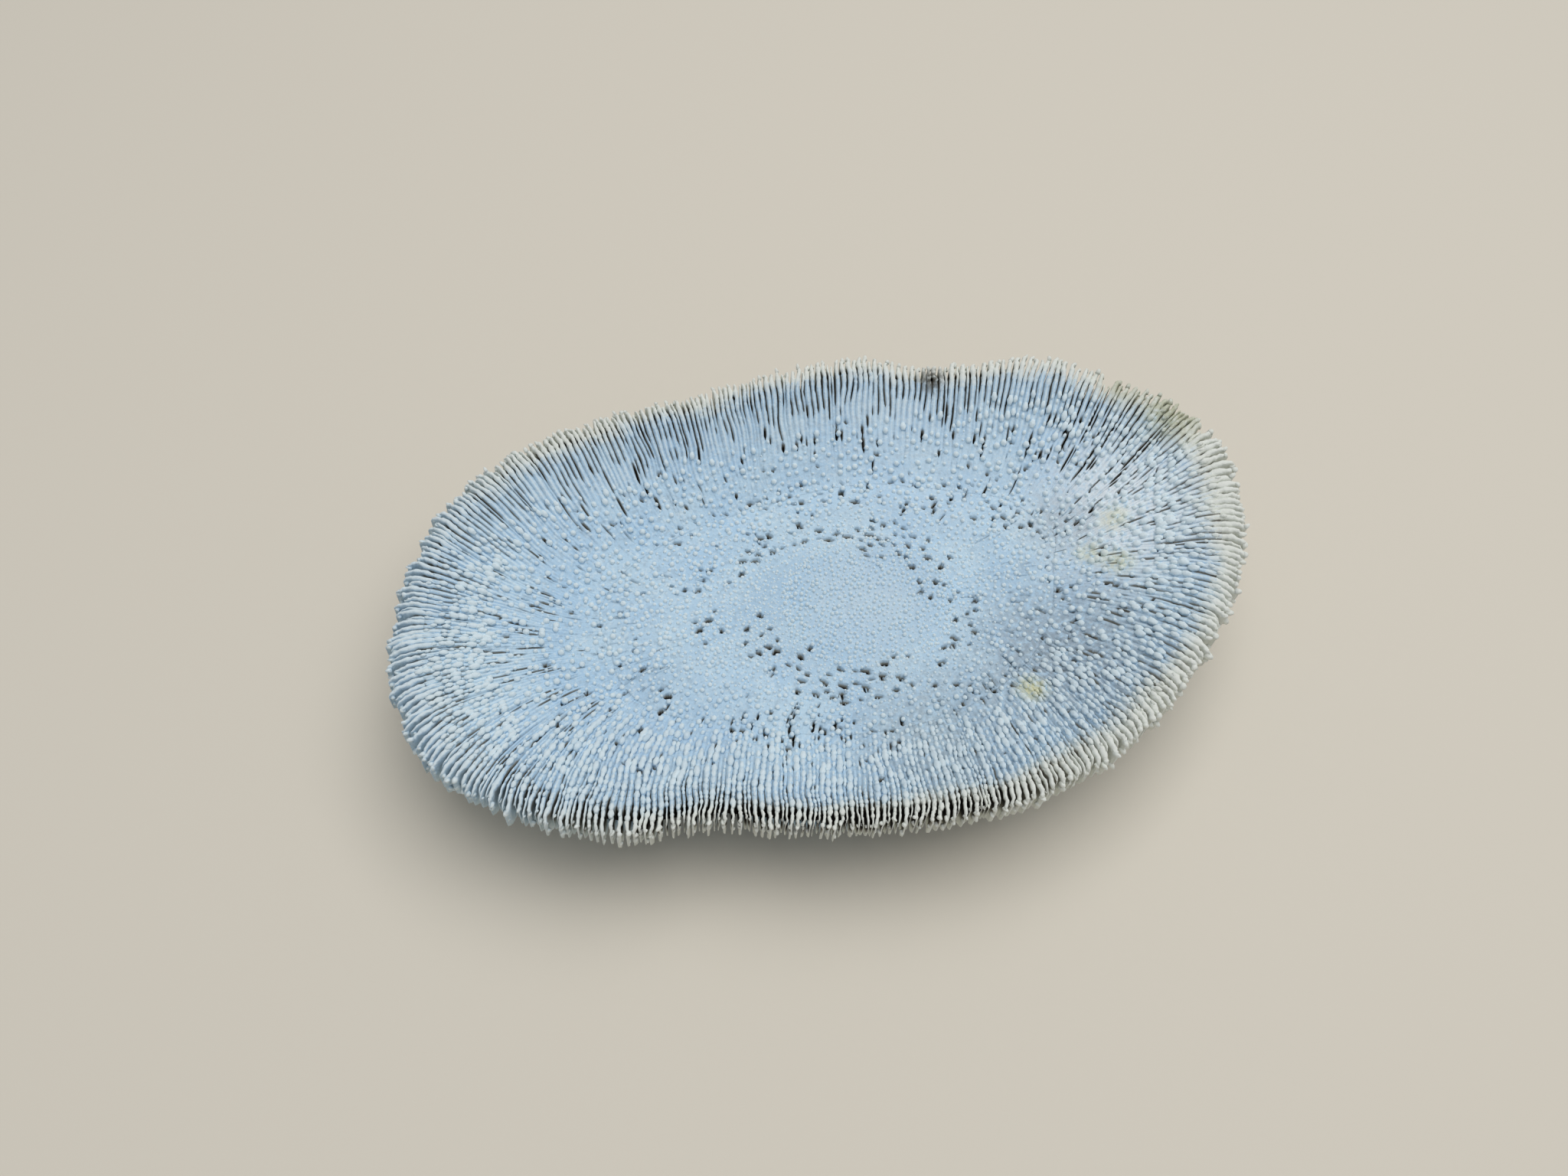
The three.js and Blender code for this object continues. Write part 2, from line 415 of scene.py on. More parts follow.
class RingMesh:
    """A closed mesh made of rings of points, each joined to the one before."""

    def __init__(self) -> None:
        """Starts without rings."""
        self.rings: list[np.ndarray] = []
        self.triangles: list[np.ndarray] = []
        self.last: tuple[int, int] | None = None

    def add(self, points: np.ndarray, reach: float, depth: Numbers) -> tuple[int, int]:
        """Adds a ring, or a pole of one point.

        Args:
            points: The ring's points as (n, 3).
            reach: The reach of all of them.
            depth: How deep each lies in a gap or pit, with painted shade or highlight added, which the finish
                reads.

        Returns:
            The ring's first index and its number of points.
        """
        count = len(points)
        ring = (sum(self.last) if self.last else 0, count)
        self.rings.append(np.column_stack([points, np.full(count, reach), np.broadcast_to(depth, count)]))
        if self.last:
            self.join(self.last, ring)
        self.last = ring
        return ring

    def join(self, a: tuple[int, int], b: tuple[int, int]) -> None:
        """Adds the triangles between two rings, of which one may be a pole or have twice the points.

        Args:
            a: First index and count of the ring that comes first.
            b: The same of the other ring.
        """
        counts = (a[1], b[1])
        steps = max(counts) if 1 in counts else min(counts)
        i = np.arange(steps)
        p, q = ([first + (i * (count // steps) + k) % count for k in range(3)] for first, count in (a, b))
        if a[1] == 1:
            made = ((p[0], q[0], q[1]),)
        elif b[1] == 1:
            made = ((p[0], q[0], p[1]),)
        elif b[1] > a[1]:
            made = ((p[0], q[0], q[1]), (p[0], q[1], p[1]), (p[1], q[1], q[2]))
        elif a[1] > b[1]:
            made = ((p[0], q[0], p[1]), (p[1], q[0], q[1]), (p[1], q[1], p[2]))
        else:
            made = ((p[0], q[0], q[1]), (p[0], q[1], p[1]))
        self.triangles.extend(np.stack(t, axis=1) for t in made)

    def build(self, name: str) -> bpy.types.Object:
        """Makes the mesh object."""
        table = np.concatenate(self.rings)
        return make_piece(name, table[:, :3], np.concatenate(self.triangles), table[:, 3], table[:, 4])


@dataclass
class Holes:
    """Round pits, mostly in two rings that mark where growth paused."""

    form: Skeleton
    # Clusters of pits, as x, y, half length, half width and the number of pits.
    clusters: Rows = (
        (-33, 28, 5, 2, 4), (-18, 31, 6, 1.5, 6), (1, 31, 7, 2, 14), (19, 27, 7, 2, 5), (33, 22, 5, 2.5, 7),
        (44, 14, 5, 3, 10), (53, 8, 5, 2.5, 12), (50, -6, 3, 5, 7), (43, -18, 4, 3, 6), (22, -26, 8, 2.5, 8),
        (1, -32, 9, 2, 6), (-22, -24, 9, 4, 5), (-45, -16, 6, 5, 5), (-50, 2, 4, 7, 9), (-47, 17, 4, 4, 6),
        (-28, 15, 5, 2, 7), (-16, 17, 4, 2, 6), (-6, 21, 5, 2, 9), (5, 19, 4, 1.5, 5), (15, 15, 4.5, 3.5, 20),
        (22, 8, 4, 3, 7), (21, -1, 2.5, 3, 5), (26, -8, 2.5, 4, 8), (18, -16, 4, 2, 5), (0, -18.5, 8, 3, 22),
        (-12, -13, 3, 5, 8), (-20, -4, 2.5, 5, 11), (-28, 2, 5, 5, 6), (-63, -13, 9, 7, 12),
        (-66, 12, 8, 8, 10), (-38, -29, 14, 4, 9), (12, -40, 20, 4, 8), (46, -28, 10, 5, 14),
        (64, -12, 7, 7, 12), (68, 16, 8, 8, 14), (48, 28, 9, 4, 8), (-8, 40, 30, 3, 9), (-46, 32, 12, 5, 9),
    )
    spill: float = 1.6
    apart: float = 1.9
    radius: tuple[float, float] = (0.38, 0.82)
    # How much smaller pits are outside the outer ring.
    outer_shrink: float = 0.35
    # How far the outline of a pit strays from round.
    oval: float = 0.22
    jagged: float = 0.12
    # Depth of the pits. The finish reads it too and paints pits near black, as painted shade.
    depth: float = 3.0
    # In radii of a pit: how far it reaches, how far its mouth and its pull on the points go, and where
    # the points inside and outside it end up.
    span: float = 2.6
    mouth: float = 1.05
    pull: float = 1.8
    edges: tuple[float, float] = (0.95, 1.02)
    # The bevel round a pit: its depth, and the middle and spread of its ring in radii.
    bevel: float = 0.1
    bevel_ring: tuple[float, float] = (1.3, 0.25)

    def __post_init__(self) -> None:
        """Scatters the pits, as rows of x, y, radius and the turn of the outline."""
        rng = np.random.default_rng(HOLE_SEED)
        low, high = self.radius
        rows: list[tuple[float, ...]] = []
        for middle_x, middle_y, half_x, half_y, count in self.clusters:
            wanted = len(rows) + count
            for _ in range(count * 12):
                angle, out = rng.uniform(0, math.tau), self.spill * rng.uniform(0, 1) ** 0.5
                x = middle_x + half_x * out * math.cos(angle)
                y = middle_y + half_y * out * math.sin(angle)
                free = all(math.hypot(x - row[0], y - row[1]) > self.apart for row in rows)
                if free and len(rows) < wanted:
                    size = low + (high - low) * rng.uniform(0, 1) ** 1.6
                    size *= 1 - self.outer_shrink * ramp(self.form.reach(np.array([x, y])), 0.5, 0.6)
                    rows.append((x, y, size, rng.uniform(0, math.tau)))
        self.discs = np.array(rows)

    def sink(self, place: np.ndarray) -> tuple[np.ndarray, np.ndarray]:
        """Moves the points of a ring to the edges of the pits and lowers those inside.

        Args:
            place: The ring's places as (n, 2).

        Returns:
            The moved places and how far each is lowered. It is under nothing on a pit's bevel.
        """
        place = place.copy()
        sunk = np.zeros(len(place))
        reach, here = self.form.reach(self.discs), self.form.reach(place)
        close = (reach > here.min() - 0.02) & (reach < here.max() + 0.02)
        (inner, outer), (ring, spread) = self.edges, self.bevel_ring
        for x, y, radius, turn in self.discs[close]:
            away = place - (x, y)
            near = np.flatnonzero(np.hypot(away[:, 0], away[:, 1]) < self.span * radius)
            angle = np.arctan2(away[near, 1], away[near, 0])
            ragged = self.oval * np.cos(2 * angle + turn) + self.jagged * np.cos(3 * angle - 2 * turn)
            out = np.hypot(away[near, 0], away[near, 1]) / (radius * (1 + ragged))
            inside = out < self.mouth
            outside = np.where(out < self.pull, outer + 1.04 * (out - self.mouth), out)
            moved = np.where(inside, inner * (out / self.mouth) ** 0.3, outside)
            place[near] = (x, y) + away[near] * (moved / np.maximum(out, 0.05))[:, None]
            sunk[near] = np.where(inside, self.depth, sunk[near])
            bevel = np.exp(-(((moved - ring) / spread) ** 2))
            sunk[near] -= self.bevel * bevel * (sunk[near] <= 0)
        return place, sunk

    def clear(self, place: np.ndarray, room: float) -> np.ndarray:
        """Tells which places lie clear of every pit.

        Args:
            place: Places as (n, 2).
            room: The least distance to the edge of a pit.

        Returns:
            One truth value a place.
        """
        clear = np.ones(len(place), bool)
        for x, y, radius, _ in self.discs:
            clear &= (place[:, 0] - x) ** 2 + (place[:, 1] - y) ** 2 > (radius + room) ** 2
        return clear


@dataclass
class Wall:
    """The wall of the skeleton: ridges, the furrows between them, and holes."""

    form: Skeleton
    holes: Holes
    # Reaches of the seam between the disc and the band, and of the band's outer edge.
    seam: float = 0.55
    edge: float = 0.918
    # How much further out the edge lies on the far side.
    far_edge: float = 0.028
    # Reach from one ring to the next, and the reaches below which rings have fewer points.
    disc_step: float = 0.0036
    band_step: float = 0.0062
    fewer: tuple[tuple[float, int], ...] = ((0.08, 8), (0.16, 4), (0.3, 2))
    # How thick the wall is, and how far its outer edge hangs below the crests.
    thickness: float = 3.5
    edge_drop: float = 5.6
    # Rings of the band's side that faces down, as reach and distance below the crests.
    lining: Rows = ((0.86, 4.6), (0.74, 4))
    # Painted shade on the side that faces down, between the fins and at its outer edge.
    underside_shade: float = 0.9
    hem_shade: float = 3.0
    # How dark the scar is, how much painted shade the sides of open furrows get, and how much paler the
    # crests by the rim are, partly a painted highlight.
    scar_mark: float = 0.22
    slot_side_shade: float = 0.6
    crest_pale_and_highlight: float = 0.7
    # Depth of the furrows, by reach.
    furrow: Curve = Curve(
        (0, 0), (0.3, 0.03), (0.45, 0.08), (0.6, 0.12), (0.72, 0.25), (0.8, 0.5), (0.87, 1.4), (0.92, 4.5)
    )
    # How much deeper the furrows of the near side are.
    near_furrow: float = 1.0
    # How far the sides of a ridge lie below its crest: a part of the furrow's depth, and millimetres.
    side_part: float = 0.15
    side_drop: float = 0.08
    roughness: float = 0.02
    # How far a crest rises and falls, and how much its width varies.
    knobbly: float = 0.16
    uneven: float = 0.16
    # Points and knots of the lines by which they do so, from the middle to the rim.
    bump_points: int = 120
    bump_knots: int = 52
    # How far the ridges of the thin fins lie below the others, by reach.
    step_down: Curve = Curve((0, 0), (0.55, 0), (0.75, 0.22), (0.93, 0.5))
    # Part of the furrows that is open, by reach.
    opening: Curve = Curve(
        (0.4, 0), (0.6, 0.02), (0.7, 0.06), (0.78, 0.2), (0.84, 0.45), (0.88, 0.8), (0.92, 1.0)
    )
    near_opening: Curve = Curve((0.4, 0), (0.55, 0.04), (0.7, 0.1), (0.8, 0.16), (0.87, 0.3), (0.92, 1.0))
    open_depth: float = 3.2
    open_points: int = 72
    open_knots: int = 26
    open_drift: float = 0.16
    # Short slots besides: first and last share, middle reach, its spread, length and number.
    slot_rows: Rows = (
        (0.0, 1.0, 0.58, 0.1, 1.3, 110), (0.14, 0.26, 0.73, 0.015, 1.6, 9), (0.1, 0.42, 0.76, 0.05, 3.4, 16),
        (0.67, 0.81, 0.53, 0.02, 1.3, 24), (0.8, 1.0, 0.76, 0.06, 3.2, 40), (0.0, 0.12, 0.8, 0.05, 4.5, 34),
        (0.94, 1.0, 0.84, 0.04, 4.0, 12), (0.44, 0.62, 0.76, 0.08, 2.4, 44),
    )
    slot_strength: float = 1.6
    mm_per_reach: float = 66.0
    # How far an open furrow pushes its sides apart, in millimetres by reach, and the most that it may
    # take of a ridge's width.
    widening: Curve = Curve((0.3, 0.22), (0.6, 0.18), (0.7, 0.15), (0.8, 0.08), (0.92, 0))
    widening_share: float = 0.3
    # Parts of the widening and of the open depth that the near side has.
    near_widening: float = 0.3
    near_depth: float = 0.72

    def __post_init__(self) -> None:
        """Rolls the unevenness of the ridges."""
        rng = np.random.default_rng(WALL_SEED)
        self.bumps = wander(rng, self.form.ridges, self.bump_points, self.bump_knots)
        self.swellings = wander(rng, self.form.ridges, self.bump_points, self.bump_knots)
        self.near = self.form.near_side(self.form.gap_middles)

    def opened(self, reaches: np.ndarray) -> np.ndarray:
        """Where the furrows break open in long thin gaps and short slots.

        Args:
            reaches: The reaches asked for.

        Returns:
            Parts of the open depth, as furrows by reaches.
        """
        rng = np.random.default_rng(WALL_SEED)
        chance = (wander(rng, self.form.ridges, self.open_points, self.open_knots) + 1) / 2
        share = self.form.gap_middles[:, None]
        chance = chance + self.open_drift * self.form.drift(share, np.linspace(0, 1, self.open_points)[None])
        at = reaches * (self.open_points - 1)
        i = np.minimum(at.astype(int), self.open_points - 2)
        level = chance[:, i] * (1 - (at - i)) + chance[:, i + 1] * (at - i)
        near = self.near[:, None]
        limit = self.opening(reaches) * (1 - near) + self.near_opening(reaches) * near
        opened = np.clip((limit - level) / 0.1 + 0.5, 0, 1)
        for first, last, reach, spread, length, count in self.slot_rows:
            inside = np.flatnonzero((self.form.gap_middles >= first) & (self.form.gap_middles < last))
            which = rng.choice(inside, count)
            middle = reach + rng.uniform(-1.7, 1.7, (count, 1)) * spread
            half = length * rng.uniform(0.4, 1.5, (count, 1)) / 2 / self.mm_per_reach
            slot = 1 - ramp(np.abs(reaches - middle), 0.6 * half, half + 0.006)
            np.maximum.at(opened, which, self.slot_strength * slot)
        return opened

    def spread_sides(self, share: np.ndarray, reach: float, opened: np.ndarray) -> None:
        """Pushes the sides of ridges apart at open furrows and varies their width.

        Args:
            share: Shares of the ring's columns, four for each ridge, which are changed.
            reach: The ring's reach.
            opened: Part of the open depth in each furrow.
        """
        push = self.widening(reach) / self.form.perimeter * (1 - (1 - self.near_widening) * self.near)
        push = np.minimum(push, self.widening_share * 2 * self.form.halves)
        slack = self.uneven * self.form.halves * self.swellings[:, round(reach * (self.bump_points - 1))]
        share[1::4] += slack - push * opened
        share[3::4] += push * opened - np.roll(slack, -1)

    def depths(self, count: int, reach: float, opened: np.ndarray) -> tuple[np.ndarray, np.ndarray]:
        """How far the columns of a ring lie below the crests, and how much darker or paler they are painted.

        Args:
            count: Columns in the ring.
            reach: Its reach.
            opened: Part of the open depth in each furrow.

        Returns:
            One depth and one darkness for each column.
        """
        depth, dark = np.zeros(count), np.full(count, self.scar_mark * (1 - ramp(reach, 0.2, 0.35)))
        columns = count // self.form.ridges
        furrow = self.furrow(reach) * (1 + self.near_furrow * self.near * (1 - ramp(reach, 0.84, 0.9)))
        if columns >= 2:
            shallow = (1 - self.near_depth) * self.near * (1 - ramp(reach, 0.86, 0.92))
            depth[columns // 2 :: columns] = furrow + opened * self.open_depth * (1 - shallow)
        if columns == 4:
            lower = self.step_down(reach) * self.form.of_order(Order.THIN)
            bumps = self.bumps[:, round(reach * (self.bump_points - 1))]
            lower = lower - self.knobbly * bumps * ramp(reach, 0.5, 0.7)
            side = lower + self.side_part * furrow + self.side_drop
            depth[0::4], depth[1::4], depth[3::4] = lower, side, np.roll(side, -1)
            # Painted highlight on crests by the rim, and painted shade on the sides of open furrows.
            dark[0::4] -= self.crest_pale_and_highlight * ramp(reach, 0.6, 0.85)
            dark[1::4] += self.slot_side_shade * opened
            dark[3::4] += self.slot_side_shade * opened
        return depth, dark

    def ring(
        self, count: int, reach: float, opened: np.ndarray, rng: np.random.Generator
    ) -> tuple[np.ndarray, float, np.ndarray]:
        """One ring of the upper side.

        Args:
            count: Points in the ring.
            reach: Its reach.
            opened: Part of the open depth in each furrow.
            rng: The source of randomness.

        Returns:
            The points, the reach and how deep each point lies in a gap or pit, plus its painted shade or
            highlight.
        """
        share = self.form.columns(count)
        if count == 4 * self.form.ridges:
            self.spread_sides(share, reach, opened)
        place, crest = self.surface(share, reach)
        depth, dark = self.depths(count, reach, opened)
        place, sunk = self.holes.sink(place)
        depth = np.maximum(depth, sunk + 0.2 * depth * (sunk > 0))
        level = crest - depth + np.minimum(sunk, 0) + rng.normal(0, self.roughness, count)
        # Pits keep their depth, which paints them as near-black shade; elsewhere the painted shade and
        # highlight marks are added.
        return np.column_stack([place, level]), reach, np.where(sunk > 0, depth, depth + dark)

    def surface(self, share: np.ndarray, reach: float) -> tuple[np.ndarray, np.ndarray]:
        """Places and crest heights on a ring, which lies further out on the far side.

        Args:
            share: Shares of the ring's columns.
            reach: The ring's reach.

        Returns:
            The places as (n, 2), and the heights.
        """
        outer = max(0.0, reach - self.seam) / (self.edge - self.seam)
        at = reach + self.far_edge * outer * (1 - self.form.near_side(share))
        tips = self.form.tips(share, at)
        place = self.form.ring(tips, at)
        return place, self.form.upper(tips, place, at)

    def underside(self, count: int, reach: float, below: float) -> np.ndarray:
        """The points of one plain ring of the side that faces down."""
        place, crest = self.surface(self.form.columns(count), reach)
        return np.column_stack([place, crest - below])

    def build(self, rng: np.random.Generator) -> list[bpy.types.Object]:
        """Makes the wall in two closed pieces that meet at the seam.

        Args:
            rng: The source of randomness.

        Returns:
            The disc, from the scar to the outer ring of pits, and the band, which climbs to the fins.
        """
        # The side that faces down is marked with painted shade, and the band's outer edge with near-black
        # painted shade.
        form, mark = self.form, self.underside_shade
        disc, band = RingMesh(), RingMesh()
        disc.add(np.array([[0, 0, form.scar_height]]), 0, 0)
        reaches = np.linspace(0, self.seam, round(self.seam / self.disc_step) + 1)[1:]
        for reach, opened in zip(reaches, self.opened(reaches).T):
            fewer = next((factor for limit, factor in self.fewer if reach < limit), 1)
            seam = self.ring(2 * form.ridges // fewer, reach, opened, rng)
            disc.add(*seam)
        for fewer, reach in ((1, self.seam), (2, 0.4), (4, 0.2), (8, 0.08)):
            disc.add(self.underside(2 * form.ridges // fewer, reach, self.thickness), reach, mark)
        disc.add(np.array([[0, 0, form.scar_height - self.thickness]]), 0, mark)
        first = band.add(*seam)
        reaches = np.linspace(self.seam, self.edge, round((self.edge - self.seam) / self.band_step) + 1)[1:]
        for reach, opened in zip(reaches, self.opened(reaches).T):
            band.add(*self.ring(4 * form.ridges, reach, opened, rng))
        hem = self.underside(4 * form.ridges, self.edge + 0.004, self.edge_drop)
        band.add(hem, self.edge, self.hem_shade)
        for reach, below in (*self.lining, (self.seam, self.thickness)):
            band.add(self.underside(2 * form.ridges, reach, below), reach, mark)
        band.join(band.last, first)
        return [disc.build("wall_disc"), band.build("wall_band")]


@dataclass
class Fins:
    """One order of the upright plates that run from the mouth groove to the rim."""

    form: Skeleton
    name: str
    order: Order
    # Reaches between which fins start and between which they end, and the stations along a fin.
    start: tuple[float, float]
    end: tuple[float, float]
    stations: int
    # How far free ends lie below the crests, and the lower edge above the lower face.
    lowered: float
    recess: float
    # Height of the teeth along the lower edge.
    tooth: float = 0.45
    # How much narrower fins are than their ridges, by share.
    slimness: Curve = Curve(
        (0, 0.1), (0.1, 0.12), (0.2, 0.1), (0.4, 0.12), (0.47, 0.15), (0.55, 0.18), (0.62, 0.3), (0.7, 0.36),
        (0.8, 0.32), (0.88, 0.16), (1, 0.1),
    )
    # How much a fin widens before its end on the near side and narrows on the far side.
    flare: float = -0.1
    taper: float = 0.3
    # How much the width of the free end varies, and how much its very tip narrows.
    uneven: float = 0.26
    pointed: float = 0.45
    # How much further out fins end than the traced rim, by share.
    overhang: Curve = Curve(
        (0, 0.01), (0.1, 0.012), (0.18, 0.026), (0.3, 0.02), (0.42, 0.015), (0.5, 0.018), (0.6, 0.006),
        (0.75, 0.0), (0.9, 0.005), (1, 0.01),
    )
    # How much painted shade the gaps between fins get at most, and the part of it that they have by share.
    deepest_gap_shade: float = 2.6
    gap_shade: Curve = Curve(
        (0, 0.4), (0.08, 0.6), (0.13, 0.9), (0.2, 1), (0.26, 0.85), (0.42, 0.8), (0.48, 0.6), (0.6, 0.5),
        (0.645, 1), (0.775, 1), (0.81, 0.5), (0.9, 0.38), (1, 0.4),
    )
    # On the lower face fins cross rings that narrow to the groove: half lengths and half widths by reach.
    groove_along: Curve = Curve((0.3, 0.33), (0.38, 0.385), (0.5, 0.5))
    groove_across: Curve = Curve((0.3, 0.075), (0.38, 0.17), (0.44, 0.34), (0.5, 0.5))
    # The reach where a fin comes free of the wall, and how far below the crests it runs before that.
    free_from: float = 0.88
    hidden: float = 2.4
    # How far the free end swerves, how far its top is lowered at random and how wavy it is.
    swerve: float = 0.2
    ragged: float = 0.35
    wavy: float = 0.22
    # The rounded free end: its length in reach, how far its top drops and its foot rises, and the
    # least depth of a fin.
    rounding: float = 0.03
    tip_drop: float = 1.3
    tip_rise: float = 1.6
    least_depth: float = 0.4
    # The fin's outline from one foot to the other: part of the width, part of the height, and its mark there:
    # pale at the foot, painted shade under the top edge and a painted highlight on top.
    outline: Rows = (
        (0.24, 0, -0.35), (0.46, 0.86, 1), (0.5, 0.96, 0.12), (0.3, 1, -0.6),
        (-0.3, 1, -0.6), (-0.5, 0.96, 0.12), (-0.46, 0.86, 1), (-0.24, 0, -0.35),
    )

    def build(self, rng: np.random.Generator) -> bpy.types.Object:
        """Makes all fins of the order as one mesh.

        Args:
            rng: The source of randomness.

        Returns:
            The piece.
        """
        which = np.flatnonzero(self.form.of_order(self.order))
        fins, n = len(which), self.stations
        share = self.form.centres[which][:, None]
        start = rng.uniform(*self.start, (fins, 1))
        end = rng.uniform(*self.end, (fins, 1)) + self.overhang(share)
        self.tip_reach = end[:, 0]
        reach = start + (end - start) * (1 - (1 - np.linspace(0, 1, n)) ** 1.6)
        tips = self.form.tips(share + np.zeros((1, n)), reach)
        place, side = self.path(rng, tips, reach)
        top, foot = self.edges(rng, tips, place, reach, end)
        near = self.form.near_side(share)
        slim = 0.5 - self.slimness(share)
        wide = self.form.widths[which][:, None] * (0.5 + slim * ramp(reach, 0.7, 0.9))
        wide = wide * (1 + self.uneven * ramp(reach, 0.9, 0.95) * wander(rng, fins, n, n))
        flare = self.flare * near - self.taper * (1 - near)
        pointed = self.pointed * ramp(reach, end - 0.012, end)
        wide *= 1 + flare * ramp(reach, end - 0.05, end - 0.015) - pointed
        # Painted shade on the fins' sides in the gaps, fading out at the free tips.
        lit = ramp(reach, 0.96 + 0.02 * near, 0.99 + 0.02 * near)
        shade = (1 - lit) * self.deepest_gap_shade * self.gap_shade(share)
        rows = []
        for k, z, ink in self.outline:
            points = [place + side * (k * wide)[..., None], (foot + (top - foot) * z)[..., None]]
            dark = (max(ink, 0) * shade + min(ink, 0))[..., None]
            rows.append(np.concatenate([*points, reach[..., None], dark], axis=2))
        table = np.stack(rows, axis=2).reshape(-1, 5)
        return make_piece(self.name, table[:, :3], self.faces(fins), table[:, 3], table[:, 4])

    def path(
        self, rng: np.random.Generator, tips: np.ndarray, reach: np.ndarray
    ) -> tuple[np.ndarray, np.ndarray]:
        """Where the fins run.

        Args:
            rng: The source of randomness.
            tips: The fin tips.
            reach: The stations' reaches, as fins by stations.

        Returns:
            The stations' places and the directions square to the fins.
        """
        inner = reach <= self.form.knee
        along = np.where(inner, self.groove_along(reach), reach)
        across = np.where(inner, self.groove_across(reach), reach)
        place = self.form.cross(tips, along, across)
        heading = np.gradient(place, axis=1)
        heading /= np.linalg.norm(heading, axis=2, keepdims=True) + 1e-9
        side = np.stack([-heading[..., 1], heading[..., 0]], axis=2)
        swerve = wander(rng, *reach.shape, self.stations // 3) * self.swerve * ramp(reach, 0.9, 0.97)
        return place + side * swerve[..., None], side

    def edges(
        self,
        rng: np.random.Generator,
        tips: np.ndarray,
        place: np.ndarray,
        reach: np.ndarray,
        end: np.ndarray,
    ) -> tuple[np.ndarray, np.ndarray]:
        """Heights of the fins' top and lower edges.

        Args:
            rng: The source of randomness.
            tips: The fin tips.
            place: The stations' places.
            reach: The stations' reaches, as fins by stations.
            end: Where each fin ends.

        Returns:
            The top edges and the lower edges, as fins by stations.
        """
        fins, n = reach.shape
        free = ramp(reach, self.free_from, self.free_from + 0.035)
        top = self.form.upper(tips, place, reach) - self.hidden * (1 - free)
        top -= free * (self.lowered + self.ragged * rng.uniform(0, 1, (fins, 1)))
        top += self.wavy * free * wander(rng, fins, n, n)
        foot = self.form.lower(tips, reach) + self.recess * ramp(reach, 0.3, 0.6)
        foot += self.tooth * (np.arange(n) % 2) * rng.uniform(0.5, 1, (fins, n))
        tip = np.clip((reach - end + self.rounding) / self.rounding, 0, 1)
        curl = 1 - np.sqrt(1 - 0.98 * tip**2)
        top -= self.tip_drop * curl
        return top, np.minimum(foot + self.tip_rise * curl, top - self.least_depth)

    def faces(self, fins: int) -> np.ndarray:
        """Triangles of the fins, closed at both ends.

        Args:
            fins: Number of fins.

        Returns:
            Indices as (m, 3).
        """
        stations, sides = self.stations, len(self.outline)
        s, k = np.meshgrid(np.arange(stations - 1), np.arange(sides), indexing="ij")
        a, b = s * sides + k, s * sides + (k + 1) % sides
        c, d = a + sides, b + sides
        walls = [np.stack(t, -1).reshape(-1, 3) for t in ((a, d, c), (a, b, d))]
        fan = np.array([[0, j, j + 1] for j in range(1, sides - 1)])
        one = np.concatenate([*walls, fan[:, ::-1], fan + (stations - 1) * sides])
        return (one[None] + (np.arange(fins) * stations * sides)[:, None, None]).reshape(-1, 3)


class Lump(Enum):
    """The two kinds of small lump on the upper face, with the radii of shoulder and crown."""

    SPINE = (0.86, 0.42)
    GRAIN = (0.8, 0.4)


@dataclass(frozen=True)
class Scar:
    """The oval scar where the young coral broke from its stalk."""

    x: float = 6.0
    y: float = 0.0
    half_length: float = 18.0
    half_width: float = 15.5

    def away(self, place: np.ndarray) -> np.ndarray:
        """Distance from the middle of the scar, where 1 is its edge."""
        along, across = place[..., 0] - self.x, place[..., 1] - self.y
        return np.hypot(along / self.half_length, across / self.half_width)


